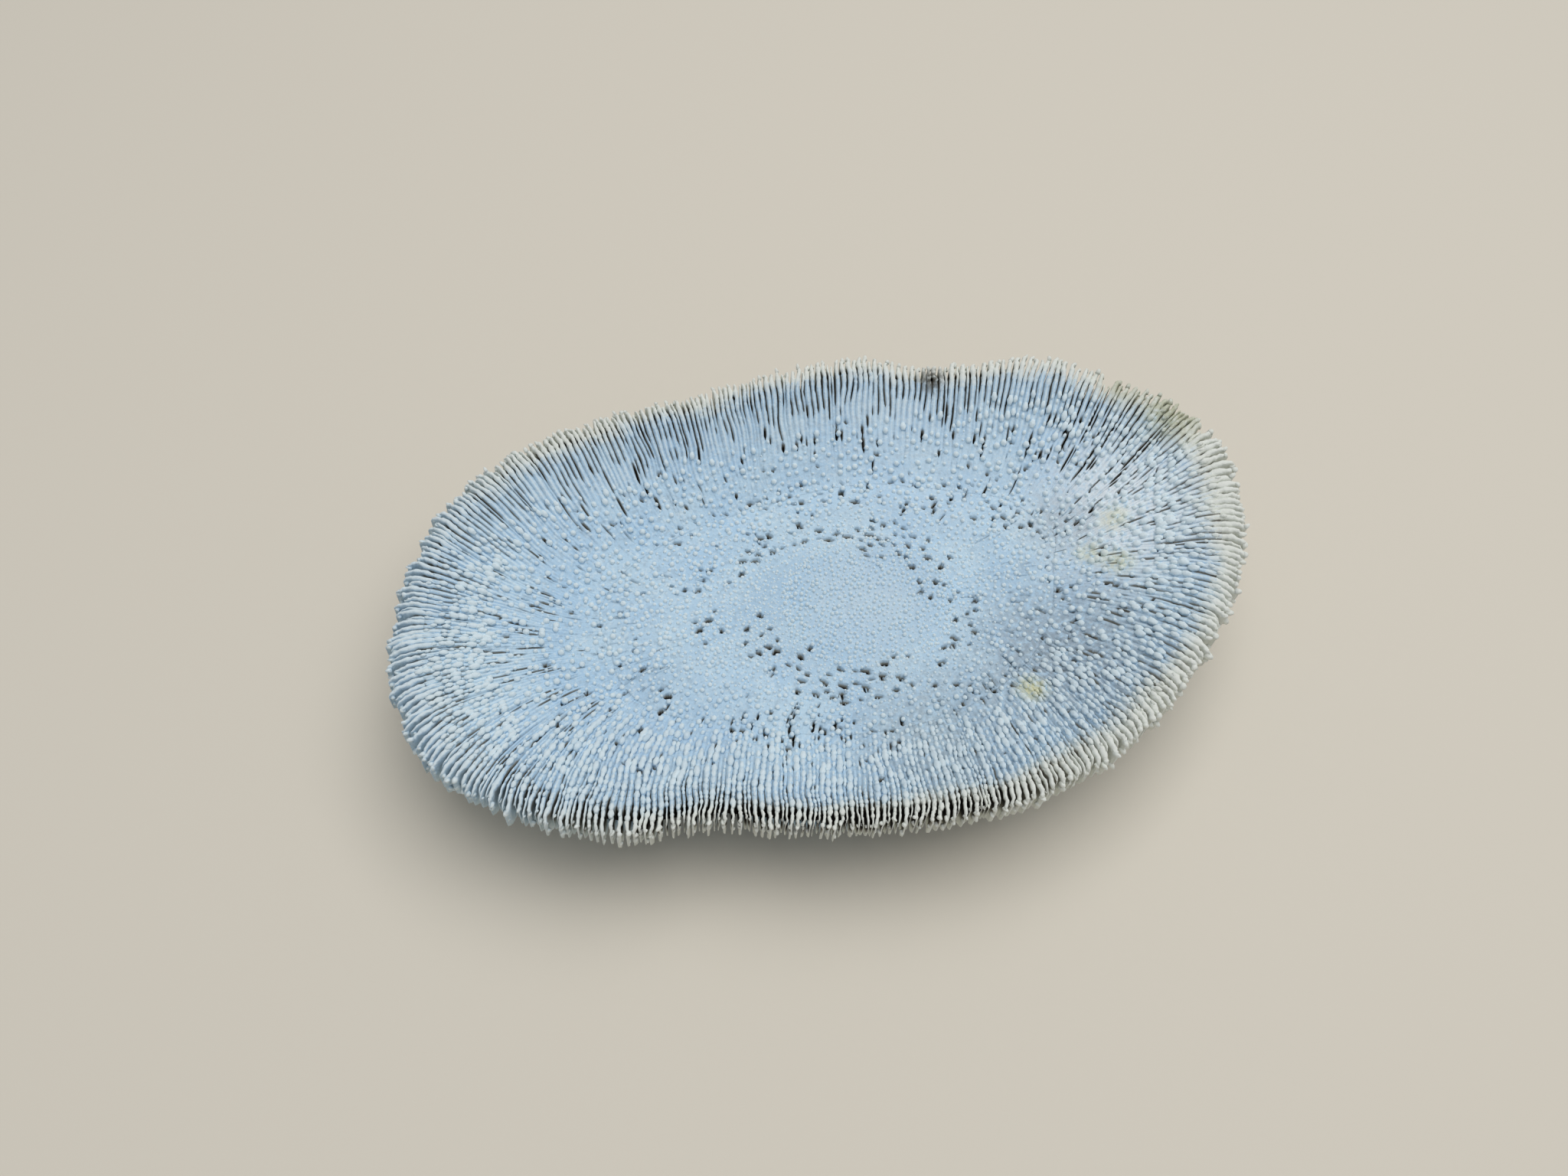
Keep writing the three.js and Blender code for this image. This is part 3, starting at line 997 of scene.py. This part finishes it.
@dataclass
class Lumps:
    """Spines and grains: one is modelled, and its copies are set on the wall."""

    form: Skeleton
    holes: Holes
    scar: Scar
    # Distance between two spines in a row, their radius and their height, by reach.
    spacing: Curve = Curve((0.2, 1.0), (0.35, 1.3), (0.5, 1.65), (0.7, 1.95), (0.88, 2.0), (1, 2.0))
    radius: Curve = Curve((0.2, 0.42), (0.35, 0.49), (0.5, 0.58), (0.7, 0.64), (0.88, 0.56), (1, 0.45))
    height: Curve = Curve(
        (0.2, 0.36), (0.35, 0.45), (0.5, 0.55), (0.7, 0.62), (0.88, 0.5), (0.94, 0.35), (1, 0.3)
    )
    spines_from: float = 0.12
    spines_to: float = 0.955
    # The reach where the spines end, by share.
    rows_end: Curve = Curve(
        (0, 0.93), (0.1, 0.9), (0.15, 0.83), (0.4, 0.83), (0.46, 0.92), (0.6, 0.95), (1, 0.93)
    )
    # How much longer spines are along their ridge by the rim and on the near side.
    rim_stretch: float = 0.9
    near_stretch: float = 1.0
    # How much closer the spines of a row are on the near side.
    near_closer: float = 0.08
    near_crowding: float = 0.26
    stray: float = 0.22
    # How far spines slip along their row, in steps, how strongly they lean back from the slope and how
    # far they tilt and turn at random.
    slip: float = 0.33
    lean: float = 0.8
    tilt: float = 0.12
    turn: float = 0.3
    spine_sizes: tuple[float, float] = (0.6, 1.35)
    spine_heights: tuple[float, float] = (0.75, 1.2)
    # How much paler than the wall spines and grains are, partly a painted highlight on their tops.
    paleness_and_highlight: tuple[float, float] = (0.7, 1.3)
    row_points: int = 160
    # Part of the spines on thin fins that stays, how far these lie below the others, and their step and
    # size as parts of the others'.
    thin_share: float = 0.5
    thin_drop: float = 0.5
    thin_step: float = 0.8
    thin_size: float = 0.65
    # The least distance between two spines, as a part of the spacing.
    crowding: float = 0.74
    # Part of a lump's height at which its shoulder is.
    shoulder_height: float = 0.62
    grain_spacing: float = 0.92
    grain_radius: float = 0.45
    grain_height: float = 0.58
    # Sizes of the knobs on the fin tips, in widths of a fin.
    knob_radii: tuple[float, float] = (0.34, 0.54)
    knob_heights: tuple[float, float] = (0.3, 0.9)
    # How deep the foot of a lump is sunk into the wall.
    sunk: float = 0.3

    def model(self, kind: Lump) -> tuple[np.ndarray, np.ndarray]:
        """Models one lump of unit radius and height, from a short six-sided cone.

        Args:
            kind: A tall spine or a low grain.

        Returns:
            Its points and its triangles.
        """
        shoulder, crown = kind.value
        bpy.ops.object.select_all(action="DESELECT")
        bpy.ops.mesh.primitive_cone_add(
            vertices=6,
            radius1=1,
            radius2=shoulder,
            depth=self.shoulder_height,
            location=(0, 0, self.shoulder_height / 2),
            end_fill_type="NGON",
        )
        lump = bpy.context.object
        bpy.ops.object.transform_apply(location=True)
        bpy.ops.object.mode_set(mode="EDIT")
        bpy.ops.mesh.select_all(action="DESELECT")
        bpy.ops.object.mode_set(mode="OBJECT")
        for face in lump.data.polygons:
            face.select = face.normal.z > 0.9
        bpy.ops.object.mode_set(mode="EDIT")
        above = (0, 0, 1 - self.shoulder_height)
        bpy.ops.mesh.extrude_region_move(TRANSFORM_OT_translate={"value": above})
        bpy.ops.transform.resize(value=(crown / shoulder, crown / shoulder, 1))
        bpy.ops.mesh.select_all(action="SELECT")
        bpy.ops.mesh.quads_convert_to_tris()
        bpy.ops.object.mode_set(mode="OBJECT")
        points = np.array([v.co for v in lump.data.vertices])
        triangles = np.array([f.vertices for f in lump.data.polygons])
        bpy.data.objects.remove(lump, do_unlink=True)
        return points, triangles

    def choose(self, place: np.ndarray, apart: np.ndarray) -> np.ndarray:
        """Chooses places in their order so that none is too close to one chosen before.

        Args:
            place: The places to choose from, as (n, 2).
            apart: The least distance at each place.

        Returns:
            Indices of the chosen places.
        """
        grid: dict[tuple[int, int], list[int]] = {}
        cells = np.floor(place / float(apart.max())).astype(int).tolist()
        points = place.tolist()
        taken = []
        for i, ((x, y), (u, v), limit) in enumerate(zip(points, cells, (apart**2).tolist())):
            near = [j for du in (-1, 0, 1) for dv in (-1, 0, 1) for j in grid.get((u + du, v + dv), ())]
            if all((x - points[j][0]) ** 2 + (y - points[j][1]) ** 2 > limit for j in near):
                grid.setdefault((u, v), []).append(i)
                taken.append(i)
        return np.array(taken)

    def spread(
        self,
        kind: Lump,
        name: str,
        foot: np.ndarray,
        axes: np.ndarray,
        size: np.ndarray,
        reach: np.ndarray,
        paleness_and_highlight: np.ndarray,
    ) -> bpy.types.Object:
        """Sets copies of a lump on the wall, as one mesh.

        Args:
            kind: The kind of lump.
            name: The piece's name.
            foot: Where each stands, as (n, 3).
            axes: Each one's own axes, the last upright, as (n, 3, 3).
            size: Both radii and the height of each, as (n, 3).
            reach: Each one's reach.
            paleness_and_highlight: How much paler than the wall each one's top is.

        Returns:
            The piece.
        """
        points, triangles = self.model(kind)
        local = points[None] * size[:, None, :]
        placed = np.einsum("nvk,nkc->nvc", local, axes) + foot[:, None, :] - axes[:, 2:] * self.sunk
        faces = (triangles[None] + (np.arange(len(foot)) * len(points))[:, None, None]).reshape(-1, 3)
        # Paler towards the top and fully pale on the part that shows: partly the lumps' own whiteness, partly
        # a painted highlight.
        depth = -(np.clip(points[:, 2] * 3 - 0.2, 0, 1) * paleness_and_highlight[:, None]).ravel()
        return make_piece(name, placed.reshape(-1, 3), faces, np.repeat(reach, len(points)), depth)

    @staticmethod
    def axes(upright: np.ndarray, turn: np.ndarray) -> np.ndarray:
        """Axes for lumps that point in given directions.

        Args:
            upright: The directions, as (n, 3).
            turn: The bearing of each one's first axis.

        Returns:
            The axes as (n, 3, 3).
        """
        upright = upright / np.linalg.norm(upright, axis=1, keepdims=True)
        bearing = np.stack([-np.sin(turn), np.cos(turn), np.zeros(len(turn))], axis=1)
        first = np.cross(bearing, upright)
        first /= np.linalg.norm(first, axis=1, keepdims=True)
        return np.stack([first, np.cross(upright, first), upright], axis=1)

    def rows(self, rng: np.random.Generator, thin: bool) -> tuple[np.ndarray, np.ndarray]:
        """Walks along the ridges and drops a spine at each step.

        Args:
            rng: The source of randomness.
            thin: Whether to walk the ridges of the thin fins or the others.

        Returns:
            The spines' shares and reaches.
        """
        wanted = self.form.of_order(Order.THIN) == thin
        share = self.form.centres[wanted][:, None] + np.zeros((1, self.row_points))
        reach = np.broadcast_to(np.linspace(self.spines_from, self.spines_to, self.row_points), share.shape)
        place = self.form.ring(self.form.tips(share, reach), reach)
        step = np.linalg.norm(np.diff(place, axis=1), axis=2)
        gap = self.spacing(reach[:, 1:]) * (self.thin_step if thin else 1) * self.form.breadth(share[:, 1:])
        gap = gap * (1 - self.near_closer * self.form.near_side(share[:, 1:]))
        shares, reaches = [], []
        for count, along, row in zip(np.cumsum(step / gap, axis=1), reach[:, 1:], share[:, 0]):
            marks = np.arange(rng.uniform(0, 1), count[-1], 1)
            marks = marks + rng.uniform(-self.slip, self.slip, len(marks))
            shares.append(np.full(len(marks), row))
            reaches.append(np.interp(marks, count, along))
        return np.concatenate(shares), np.concatenate(reaches)

    def scatter(self, rng: np.random.Generator) -> tuple[np.ndarray, ...]:
        """Chooses the places of the spines.

        Args:
            rng: The source of randomness.

        Returns:
            Their shares, their reaches, whether each is on a thin fin, their tips and their places.
        """
        parts = []
        for is_thin in (False, True):
            share, reach = self.rows(rng, is_thin)
            mixed = rng.permutation(len(share))
            parts.append((share[mixed], reach[mixed], np.full(len(mixed), is_thin)))
        found = tuple(np.concatenate(part) for part in zip(*parts))
        share, reach, thin = found
        kept = reach < self.rows_end(share) + rng.uniform(-0.05, 0.05, len(reach))
        kept &= ~thin | (rng.uniform(0, 1, len(thin)) < self.thin_share + 0.4 * self.form.near_side(share))
        share, reach, thin = (part[kept] for part in found)
        tips = self.form.tips(share, reach)
        place = self.form.ring(tips, reach)
        kept = self.holes.clear(place, 0.3) & (self.scar.away(place) > 1)
        found = tuple(part[kept] for part in (share, reach, thin, tips, place))
        share, reach, thin, _, place = found
        apart = self.spacing(reach) * self.crowding * np.where(thin, 0.86, 1)
        apart = apart * (1 - self.near_crowding * self.form.near_side(share) * ramp(reach, 0.5, 0.7))
        kept = self.choose(place, apart * np.where(reach > 0.8, 0.6, 1))
        return tuple(part[kept] for part in found)

    def spines(self, rng: np.random.Generator) -> list[bpy.types.Object]:
        """Sets rows of spines on the ridges, out to the fin tips.

        Args:
            rng: The source of randomness.

        Returns:
            The inner and the outer spines.
        """
        share, reach, thin, tips, place = self.scatter(rng)
        near, count = self.form.near_side(share), len(share)
        stray = self.stray * (1 - 0.7 * ramp(reach, 0.6, 0.85)) * (1 - 0.7 * near)
        ahead = self.form.ring(self.form.tips(share, reach + 0.01), reach + 0.01)
        step = ahead - place
        place = place + rng.normal(0, 1, place.shape) * stray[:, None]
        drop = np.where(thin, self.thin_drop, 0.0) * ramp(reach, 0.6, 0.93)
        level = self.form.upper(tips, place, reach) - drop
        climb = self.form.upper(tips, ahead, reach + 0.01) - level - drop
        run = np.linalg.norm(step, axis=1) + 1e-9
        lean = -self.lean * (climb / run**2)[:, None] * step + rng.normal(0, self.tilt, step.shape)
        turned = rng.normal(0, self.turn, count) * (1 - 0.8 * ramp(reach, 0.5, 0.7))
        turn = np.arctan2(step[:, 1], step[:, 0]) + turned
        near_scar = np.clip(self.scar.away(place) - 1, 0, 1)
        shrink = np.where(thin, self.thin_size, 1.0) * (0.8 + 0.2 * near_scar)
        shrink *= rng.uniform(*self.spine_sizes, count)
        shrink *= 1 + 0.45 * (self.form.breadth(share) - 1) * ramp(reach, 0.4, 0.7)
        radius = self.radius(reach) * shrink
        stretch = 1 + self.rim_stretch * ramp(reach, 0.7, 0.85)
        stretch += self.near_stretch * near * ramp(reach, 0.5, 0.7) * (1 - ramp(reach, 0.75, 0.85))
        height = self.height(reach) * shrink * rng.uniform(*self.spine_heights, count) + self.sunk
        size = np.stack([radius * stretch, radius, height], axis=1)
        foot = np.column_stack([place, level])
        axes = self.axes(np.column_stack([lean, np.ones(count)]), turn)
        made = []
        for name, part in (("inner_spines", reach < 0.7), ("outer_spines", reach >= 0.7)):
            white = rng.uniform(*self.paleness_and_highlight, part.sum()) * (1 - 0.3 * near[part])
            made.append(self.spread(Lump.SPINE, name, foot[part], axes[part], size[part], reach[part], white))
        return made

    def tip_knobs(self, rng: np.random.Generator, ends: dict[Order, np.ndarray]) -> bpy.types.Object:
        """Puts blunt knobs on the free ends of the fins.

        Args:
            rng: The source of randomness.
            ends: How far out each fin of an order ends.

        Returns:
            The piece.
        """
        rows = []
        for order, reach in ends.items():
            which = self.form.of_order(order)
            for low, high in ((0.4, 2.2), (3, 5)) if order is not Order.THIN else ((1.4, 2.6),):
                drop = rng.uniform(low, high, len(reach))
                rows.append(np.column_stack([self.form.centres[which], reach, self.form.widths[which], drop]))
        share, reach, width, drop = np.concatenate(rows).T
        count = len(share)
        tips = self.form.tips(share, reach)
        place = self.form.ring(tips, reach - 0.008)
        outward = place - self.form.ring(tips, reach - 0.02)
        outward /= np.linalg.norm(outward, axis=1, keepdims=True)
        side = np.column_stack([-outward[:, 1], outward[:, 0]])
        place = place + side * rng.normal(0, 0.14, (count, 1))
        foot = np.column_stack([place, self.form.upper(tips, place, reach) - drop])
        tilt = rng.uniform(-0.3, 0.5, count) - 0.25 * (drop - 2)
        upright = np.column_stack([outward + side * rng.normal(0, 0.25, (count, 1)), tilt])
        axes = self.axes(upright, np.arctan2(side[:, 1], side[:, 0]))
        size = width[:, None] * rng.uniform(*self.knob_radii, (count, 3))
        size[:, 2] = rng.uniform(*self.knob_heights, count) * width + self.sunk
        return self.spread(Lump.SPINE, "tip_knobs", foot, axes, size, reach, np.ones(count))

    def grains(self, rng: np.random.Generator) -> bpy.types.Object:
        """Covers the scar with fine grains.

        Args:
            rng: The source of randomness.

        Returns:
            The piece.
        """
        x, y = np.meshgrid(np.arange(-22, 22, 0.3), np.arange(-19, 19, 0.3))
        place = np.column_stack([x.ravel() + self.scar.x, y.ravel() + self.scar.y])
        place = place + rng.uniform(-0.15, 0.15, place.shape)
        place = rng.permutation(place[(self.scar.away(place) < 1.08) & self.holes.clear(place, 0.2)])
        place = place[self.choose(place, np.full(len(place), self.grain_spacing))]
        count, reach = len(place), self.form.reach(place)
        foot = np.column_stack([place, self.form.upper(np.array([[0, 0, 28.0]]), place, reach)])
        upright = np.column_stack([rng.normal(0, 0.08, (count, 2)), np.ones(count)])
        axes = self.axes(upright, rng.uniform(0, math.tau, count))
        size = np.array([[self.grain_radius, self.grain_radius, self.grain_height]])
        size = size * rng.uniform(0.55, 1.3, (count, 1)) + np.array([0, 0, self.sunk])
        white = rng.uniform(*self.paleness_and_highlight, count)
        return self.spread(Lump.GRAIN, "scar_grains", foot, axes, size, reach, white)


@dataclass
class Columella:
    """The spongy ridge on the floor of the mouth groove."""

    half_length: float = 29.0
    half_width: float = 4.2
    half_height: float = 3.2
    # Height of its middle, and both the size and the height of its lumps.
    centre: float = 10.4
    lump_size: float = 1.6

    def build(self) -> bpy.types.Object:
        """Models the ridge from a ball, with its lumps pushed out by a cloud pattern.

        Returns:
            The piece.
        """
        bpy.ops.object.select_all(action="DESELECT")
        bpy.ops.mesh.primitive_uv_sphere_add(segments=96, ring_count=48, radius=1)
        ridge = bpy.context.object
        ridge.name = "columella"
        ridge.data.name = "columella"
        ridge.scale = (self.half_length * MM, self.half_width * MM, self.half_height * MM)
        ridge.location.z = self.centre * MM
        bpy.ops.object.transform_apply(location=True, rotation=False, scale=True)
        clouds = bpy.data.textures.new("spongy_lumps", "CLOUDS")
        clouds.noise_scale = self.lump_size * MM
        lumps = ridge.modifiers.new("lumps", "DISPLACE")
        lumps.texture = clouds
        lumps.texture_coords = "LOCAL"
        lumps.strength = self.lump_size * MM
        bpy.ops.object.modifier_apply(modifier=lumps.name)
        bpy.ops.object.shade_smooth()
        level = np.ones(len(ridge.data.vertices))
        # Marked as lying in a gap, which paints the ridge greyer, as painted shade in the groove.
        add_marks(ridge.data, 0.3 * level, 0.6 * level)
        return ridge


class Level:
    """A number that varies over a surface, on which arithmetic adds Math nodes."""

    def __init__(self, graph: "Graph", socket: bpy.types.NodeSocket) -> None:
        """Wraps a float socket of a graph."""
        self.graph = graph
        self.socket = socket

    def math(self, operation: str, *values: "Level | float") -> "Level":
        """Adds one Math node.

        Args:
            operation: The node's operation.
            values: Its inputs.

        Returns:
            The node's result.
        """
        made = self.graph.node("ShaderNodeMath", {"operation": operation}, dict(enumerate(values)))
        return Level(self.graph, made.outputs[0])

    def __add__(self, other: "Level | float") -> "Level":
        """Sum."""
        return self.math("ADD", self, other)

    __radd__ = __add__

    def __sub__(self, other: "Level | float") -> "Level":
        """Difference."""
        return self.math("SUBTRACT", self, other)

    def __rsub__(self, other: "Level | float") -> "Level":
        """Difference from a number."""
        return self.math("SUBTRACT", other, self)

    def __mul__(self, other: "Level | float") -> "Level":
        """Product."""
        return self.math("MULTIPLY", self, other)

    __rmul__ = __mul__

    def eased(self, low: float, high: float) -> "Level":
        """Nothing below low, 1 above high and a smooth step between them.

        Args:
            low: Where the step starts.
            high: Where it ends.

        Returns:
            The eased level.
        """
        inputs = {"Value": self, "From Min": low, "From Max": high}
        made = self.graph.node("ShaderNodeMapRange", {"interpolation_type": "SMOOTHSTEP"}, inputs)
        return Level(self.graph, made.outputs[0])


class Graph:
    """A material's node graph."""

    def __init__(self, name: str) -> None:
        """Starts an empty material with a given name."""
        self.material = bpy.data.materials.new(name)
        self.material.use_nodes = True
        self.tree = self.material.node_tree
        self.tree.nodes.clear()
        self.position = self.node("ShaderNodeTexCoord").outputs["Object"]

    def node(
        self, kind: str, settings: dict[str, object] | None = None, inputs: dict[object, object] | None = None
    ) -> bpy.types.Node:
        """Adds a node.

        Args:
            kind: The node's type.
            settings: Its settings, which are set first.
            inputs: Values or links of its sockets, by name or number.

        Returns:
            The node.
        """
        made = self.tree.nodes.new(kind)
        for name, value in (settings or {}).items():
            setattr(made, name, value)
        for key, value in (inputs or {}).items():
            value = value.socket if isinstance(value, Level) else value
            if isinstance(value, bpy.types.NodeSocket):
                self.tree.links.new(value, made.inputs[key])
            else:
                made.inputs[key].default_value = value
        return made

    def mark(self, name: str) -> Level:
        """Reads a named attribute of the mesh."""
        return Level(self, self.node("ShaderNodeAttribute", {"attribute_name": name}).outputs["Fac"])

    def noise(self, grain_mm: float, detail: float = 3.0, roughness: float = 0.55) -> Level:
        """A cloudy pattern round 0.5.

        Args:
            grain_mm: The size of its patches.
            detail: How many finer layers it has.
            roughness: How strong the finer layers are.

        Returns:
            The pattern's level.
        """
        inputs = {"Vector": self.position, "Scale": 1 / (grain_mm * MM), "Detail": detail}
        made = self.node("ShaderNodeTexNoise", {}, {**inputs, "Roughness": roughness})
        return Level(self, made.outputs[0])

    def near(self, x: float, y: float, radius: float, softness: float = 0.6) -> Level:
        """A soft round patch on the upper and lower faces.

        Args:
            x: Its middle along the skeleton, in millimetres.
            y: Its middle across the skeleton.
            radius: Its radius.
            softness: The part of the radius over which it fades.

        Returns:
            1 in the patch and nothing outside it.
        """
        kind = "ShaderNodeVectorMath"
        flat = self.node(kind, {"operation": "MULTIPLY"}, {0: self.position, 1: (1.0, 1.0, 0.0)})
        away = self.node(kind, {"operation": "DISTANCE"}, {0: flat.outputs[0], 1: (x * MM, y * MM, 0.0)})
        return 1 - Level(self, away.outputs["Value"]).eased(radius * (1 - softness) * MM, radius * MM)

    def mix(self, share: Level | float, first: object, second: object) -> bpy.types.NodeSocket:
        """Mixes two colours.

        Args:
            share: How much of the second.
            first: A colour or a colour socket.
            second: The same.

        Returns:
            The mixed colour.
        """
        colours = [c if isinstance(c, bpy.types.NodeSocket) else (*c, 1.0) for c in (first, second)]
        made = self.node("ShaderNodeMix", {"data_type": "RGBA"}, {0: share, 6: colours[0], 7: colours[1]})
        return made.outputs[2]

    def finish(self, inputs: dict[str, object]) -> bpy.types.Material:
        """Ends the graph in a plain surface.

        Args:
            inputs: Values or links of the surface's sockets, by name.

        Returns:
            The material.
        """
        shader = self.node("ShaderNodeBsdfPrincipled", {}, inputs)
        self.node("ShaderNodeOutputMaterial", {}, {"Surface": shader.outputs[0]})
        return self.material


@dataclass(frozen=True)
class ColourPatch:
    """A round patch of another colour."""

    x: float
    y: float
    radius: float
    strength: float
    colour: Colour


@dataclass(frozen=True)
class CoralFinish:
    """Dry, matt skeleton: bluish-white, the blue being painted sky light; cream at the rim; painted shade,
    brown to near black, in its gaps.
    """

    name: str
    # The body, pale, bright and shaded colours are tinted blue, which paints the bluish sky light onto the
    # white skeleton.
    body: Colour = (0.52, 0.73, 0.92)
    pale: Colour = (0.61, 0.80, 0.94)
    # A white, used for random pale flecks and for painted highlights on tops.
    bright: Colour = (0.85, 0.96, 1.0)
    # A grey, used for random speckles and for painted shade in furrows and underneath.
    shaded: Colour = (0.36, 0.47, 0.56)
    cream: Colour = (0.92, 0.93, 0.85)
    # Painted shade: near black deep in gaps, slots and pits, brownish at their edges.
    gap: Colour = (0.020, 0.016, 0.012)
    brown_shade: Colour = (0.22, 0.20, 0.15)
    roughness: float = 0.88
    grain_mm: float = 0.7
    bump_mm: float = 0.4
    # Yellowish and olive stains, and a black one, over the cream of the rim.
    stains: tuple[ColourPatch, ...] = (
        ColourPatch(31, -31, 5, 0.9, (0.80, 0.79, 0.52)),
        ColourPatch(62, -8, 5, 0.6, (0.78, 0.77, 0.52)),
        ColourPatch(58, -3, 5, 0.5, (0.78, 0.77, 0.52)),
        ColourPatch(66, 3, 5, 0.6, (0.84, 0.84, 0.62)),
        ColourPatch(88, 22, 12, 0.6, (0.42, 0.42, 0.20)),
        ColourPatch(80, 33, 8, 0.5, (0.42, 0.42, 0.20)),
        ColourPatch(38, 48.5, 5, 0.95, (0.08, 0.07, 0.05)),
    )
    # Wide paler and greyer patches, under the cream.
    tints: tuple[ColourPatch, ...] = (
        ColourPatch(72, 4, 34, 0.9, (0.92, 0.97, 1.0)),
        ColourPatch(30, 36, 40, 0.35, (0.70, 0.84, 0.95)),
        ColourPatch(6, 0, 22, 0.4, (0.74, 0.85, 0.94)),
        ColourPatch(54, 6, 12, 0.4, (0.27, 0.33, 0.38)),
        ColourPatch(42, -27, 32, 0.75, (0.31, 0.36, 0.41)),
        ColourPatch(8, -38, 28, 0.6, (0.36, 0.42, 0.46)),
        ColourPatch(-50, -30, 30, 0.25, (0.45, 0.58, 0.70)),
    )

    def build(self) -> bpy.types.Material:
        """Makes the material.

        Returns:
            The material, which reads the attributes reach and depth and paints shade and highlight from the
            depth.
        """
        graph = Graph(self.name)
        reach, depth = graph.mark("reach"), graph.mark("depth")
        cloud, speckle = graph.noise(14), graph.noise(1.1, 2.0)
        grainy = speckle.eased(0.2, 0.6)
        stains, tints = (
            [(graph.near(p.x, p.y, p.radius, 0.9) * p.strength * grainy, p.colour) for p in patches]
            for patches in (self.stains, self.tints)
        )
        paler = graph.near(20, -75, 75) + graph.near(112, -10, 50)
        creamy = (reach + (cloud - 0.5) * 0.12 + paler * 0.05).eased(0.89, 0.985)
        creamy = creamy * (1 - graph.near(-98, 4, 70) * 0.75)
        layers = [
            (cloud.eased(0.35, 0.68), self.pale),
            (speckle.eased(0.48, 0.7) * 0.4, self.shaded),
            (graph.noise(0.9, 2.0).eased(0.5, 0.68) * 0.45, self.bright),
            *tints,
            # Painted shade from the depth mark: greyer in furrows and on the side that faces down, plus the
            # grey tone of the scar.
            (depth.eased(0.02, 0.55) * 0.5, self.shaded),
            # Painted highlight, partly the own whiteness of spines and grains: paler where the mark is under
            # nothing, on spines, grains, knobs, fin tops and crests by the rim.
            ((0 - depth).eased(0, 0.9) * 0.9, self.bright),
            (creamy * 0.9, self.cream),
            *stains,
            # Painted shade from the depth mark: brownish at the edges of gaps and pits, near black deep
            # inside them.
            (depth.eased(0.5, 1.4) * 0.85, self.brown_shade),
            (depth.eased(1.2, 2.2), self.gap),
        ]
        colour = self.body
        for share, tint in layers:
            colour = graph.mix(share, colour, tint)
        grain = graph.noise(self.grain_mm, 4.0, 0.65)
        relief = {"Strength": 0.7, "Distance": self.bump_mm * MM, "Height": grain}
        bump = graph.node("ShaderNodeBump", {}, relief)
        inputs = {"Base Color": colour, "Roughness": self.roughness, "Specular IOR Level": 0.25}
        return graph.finish({**inputs, "Normal": bump.outputs[0]})


@dataclass
class Studio:
    """A plain pale floor, soft light and the photograph's camera."""

    floor_colour: Colour = (0.80, 0.74, 0.63)
    sky_colour: Colour = (0.93, 0.96, 1.0)
    sky_strength: float = 0.28
    lamp_power: float = 12.2
    lamp_size: float = 1.4
    lamp_place: tuple[float, float, float] = (0.25, 0.1, 1.3)
    camera_place: tuple[float, float, float] = (-0.0677, -0.1272, 0.2407)
    azimuth: float = -22.66
    elevation: float = 57.06
    roll: float = 5.82
    lens: float = 28.125
    sensor: float = 36.0

    def floor(self) -> None:
        """Lays the plain floor."""
        bpy.ops.object.select_all(action="DESELECT")
        bpy.ops.mesh.primitive_plane_add(size=6, location=(0, 0, 0))
        floor = bpy.context.object
        floor.name = "floor"
        plain = {"Base Color": (*self.floor_colour, 1.0), "Roughness": 0.7}
        floor.data.materials.append(Graph("pale_floor").finish(plain))

    def light(self) -> None:
        """Sets a bright even sky and one large soft lamp."""
        world = bpy.data.worlds.new("soft_sky")
        bpy.context.scene.world = world
        world.use_nodes = True
        background = world.node_tree.nodes["Background"]
        background.inputs["Color"].default_value = (*self.sky_colour, 1.0)
        background.inputs["Strength"].default_value = self.sky_strength
        lamp = bpy.data.lights.new("window_light", "AREA")
        lamp.energy = self.lamp_power
        lamp.size = self.lamp_size
        holder = bpy.data.objects.new("window_light", lamp)
        bpy.context.scene.collection.objects.link(holder)
        holder.location = self.lamp_place
        holder.rotation_mode = "QUATERNION"
        holder.rotation_quaternion = (-Vector(self.lamp_place)).to_track_quat("-Z", "Y")

    def camera(self) -> None:
        """Sets the camera where the photograph was taken from."""
        data = bpy.data.cameras.new("camera")
        data.lens = self.lens
        data.sensor_width = self.sensor
        data.clip_start = 0.01
        camera = bpy.data.objects.new("camera", data)
        bpy.context.scene.collection.objects.link(camera)
        turns = ((self.azimuth, "Z"), (90 - self.elevation, "X"), (self.roll, "Z"))
        turn, tilt, roll = (Matrix.Rotation(math.radians(angle), 4, axis) for angle, axis in turns)
        camera.matrix_world = Matrix.Translation(self.camera_place) @ turn @ tilt @ roll
        bpy.context.scene.camera = camera
        bpy.context.scene.view_settings.view_transform = "Standard"


def main() -> None:
    """Builds the pieces in order."""
    logging.basicConfig(level=logging.INFO, format="%(message)s")
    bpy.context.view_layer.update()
    form = Skeleton()
    holes = Holes(form)
    finish = CoralFinish("coral").build()
    for piece in Wall(form, holes).build(np.random.default_rng(WALL_SEED)):
        claim(piece, finish)
    rng = np.random.default_rng(FIN_SEED)
    ends = {}
    for fins in (
        Fins(form, "long_fins", Order.LONG, (0.30, 0.31), (0.991, 1.008), 56, 0, 0),
        Fins(form, "mid_fins", Order.MID, (0.30, 0.35), (0.982, 1.004), 52, 0.05, 0.3),
        Fins(form, "thin_fins", Order.THIN, (0.32, 0.5), (0.97, 0.998), 36, 0.35, 0.8),
    ):
        claim(fins.build(rng), finish)
        ends[fins.order] = fins.tip_reach
    lumps = Lumps(form, holes, Scar())
    rng = np.random.default_rng(LUMP_SEED)
    for piece in (*lumps.spines(rng), lumps.tip_knobs(rng, ends), lumps.grains(rng), Columella().build()):
        claim(piece, finish)
    studio = Studio()
    studio.floor()
    studio.light()
    studio.camera()


if __name__ == "__main__":
    main()
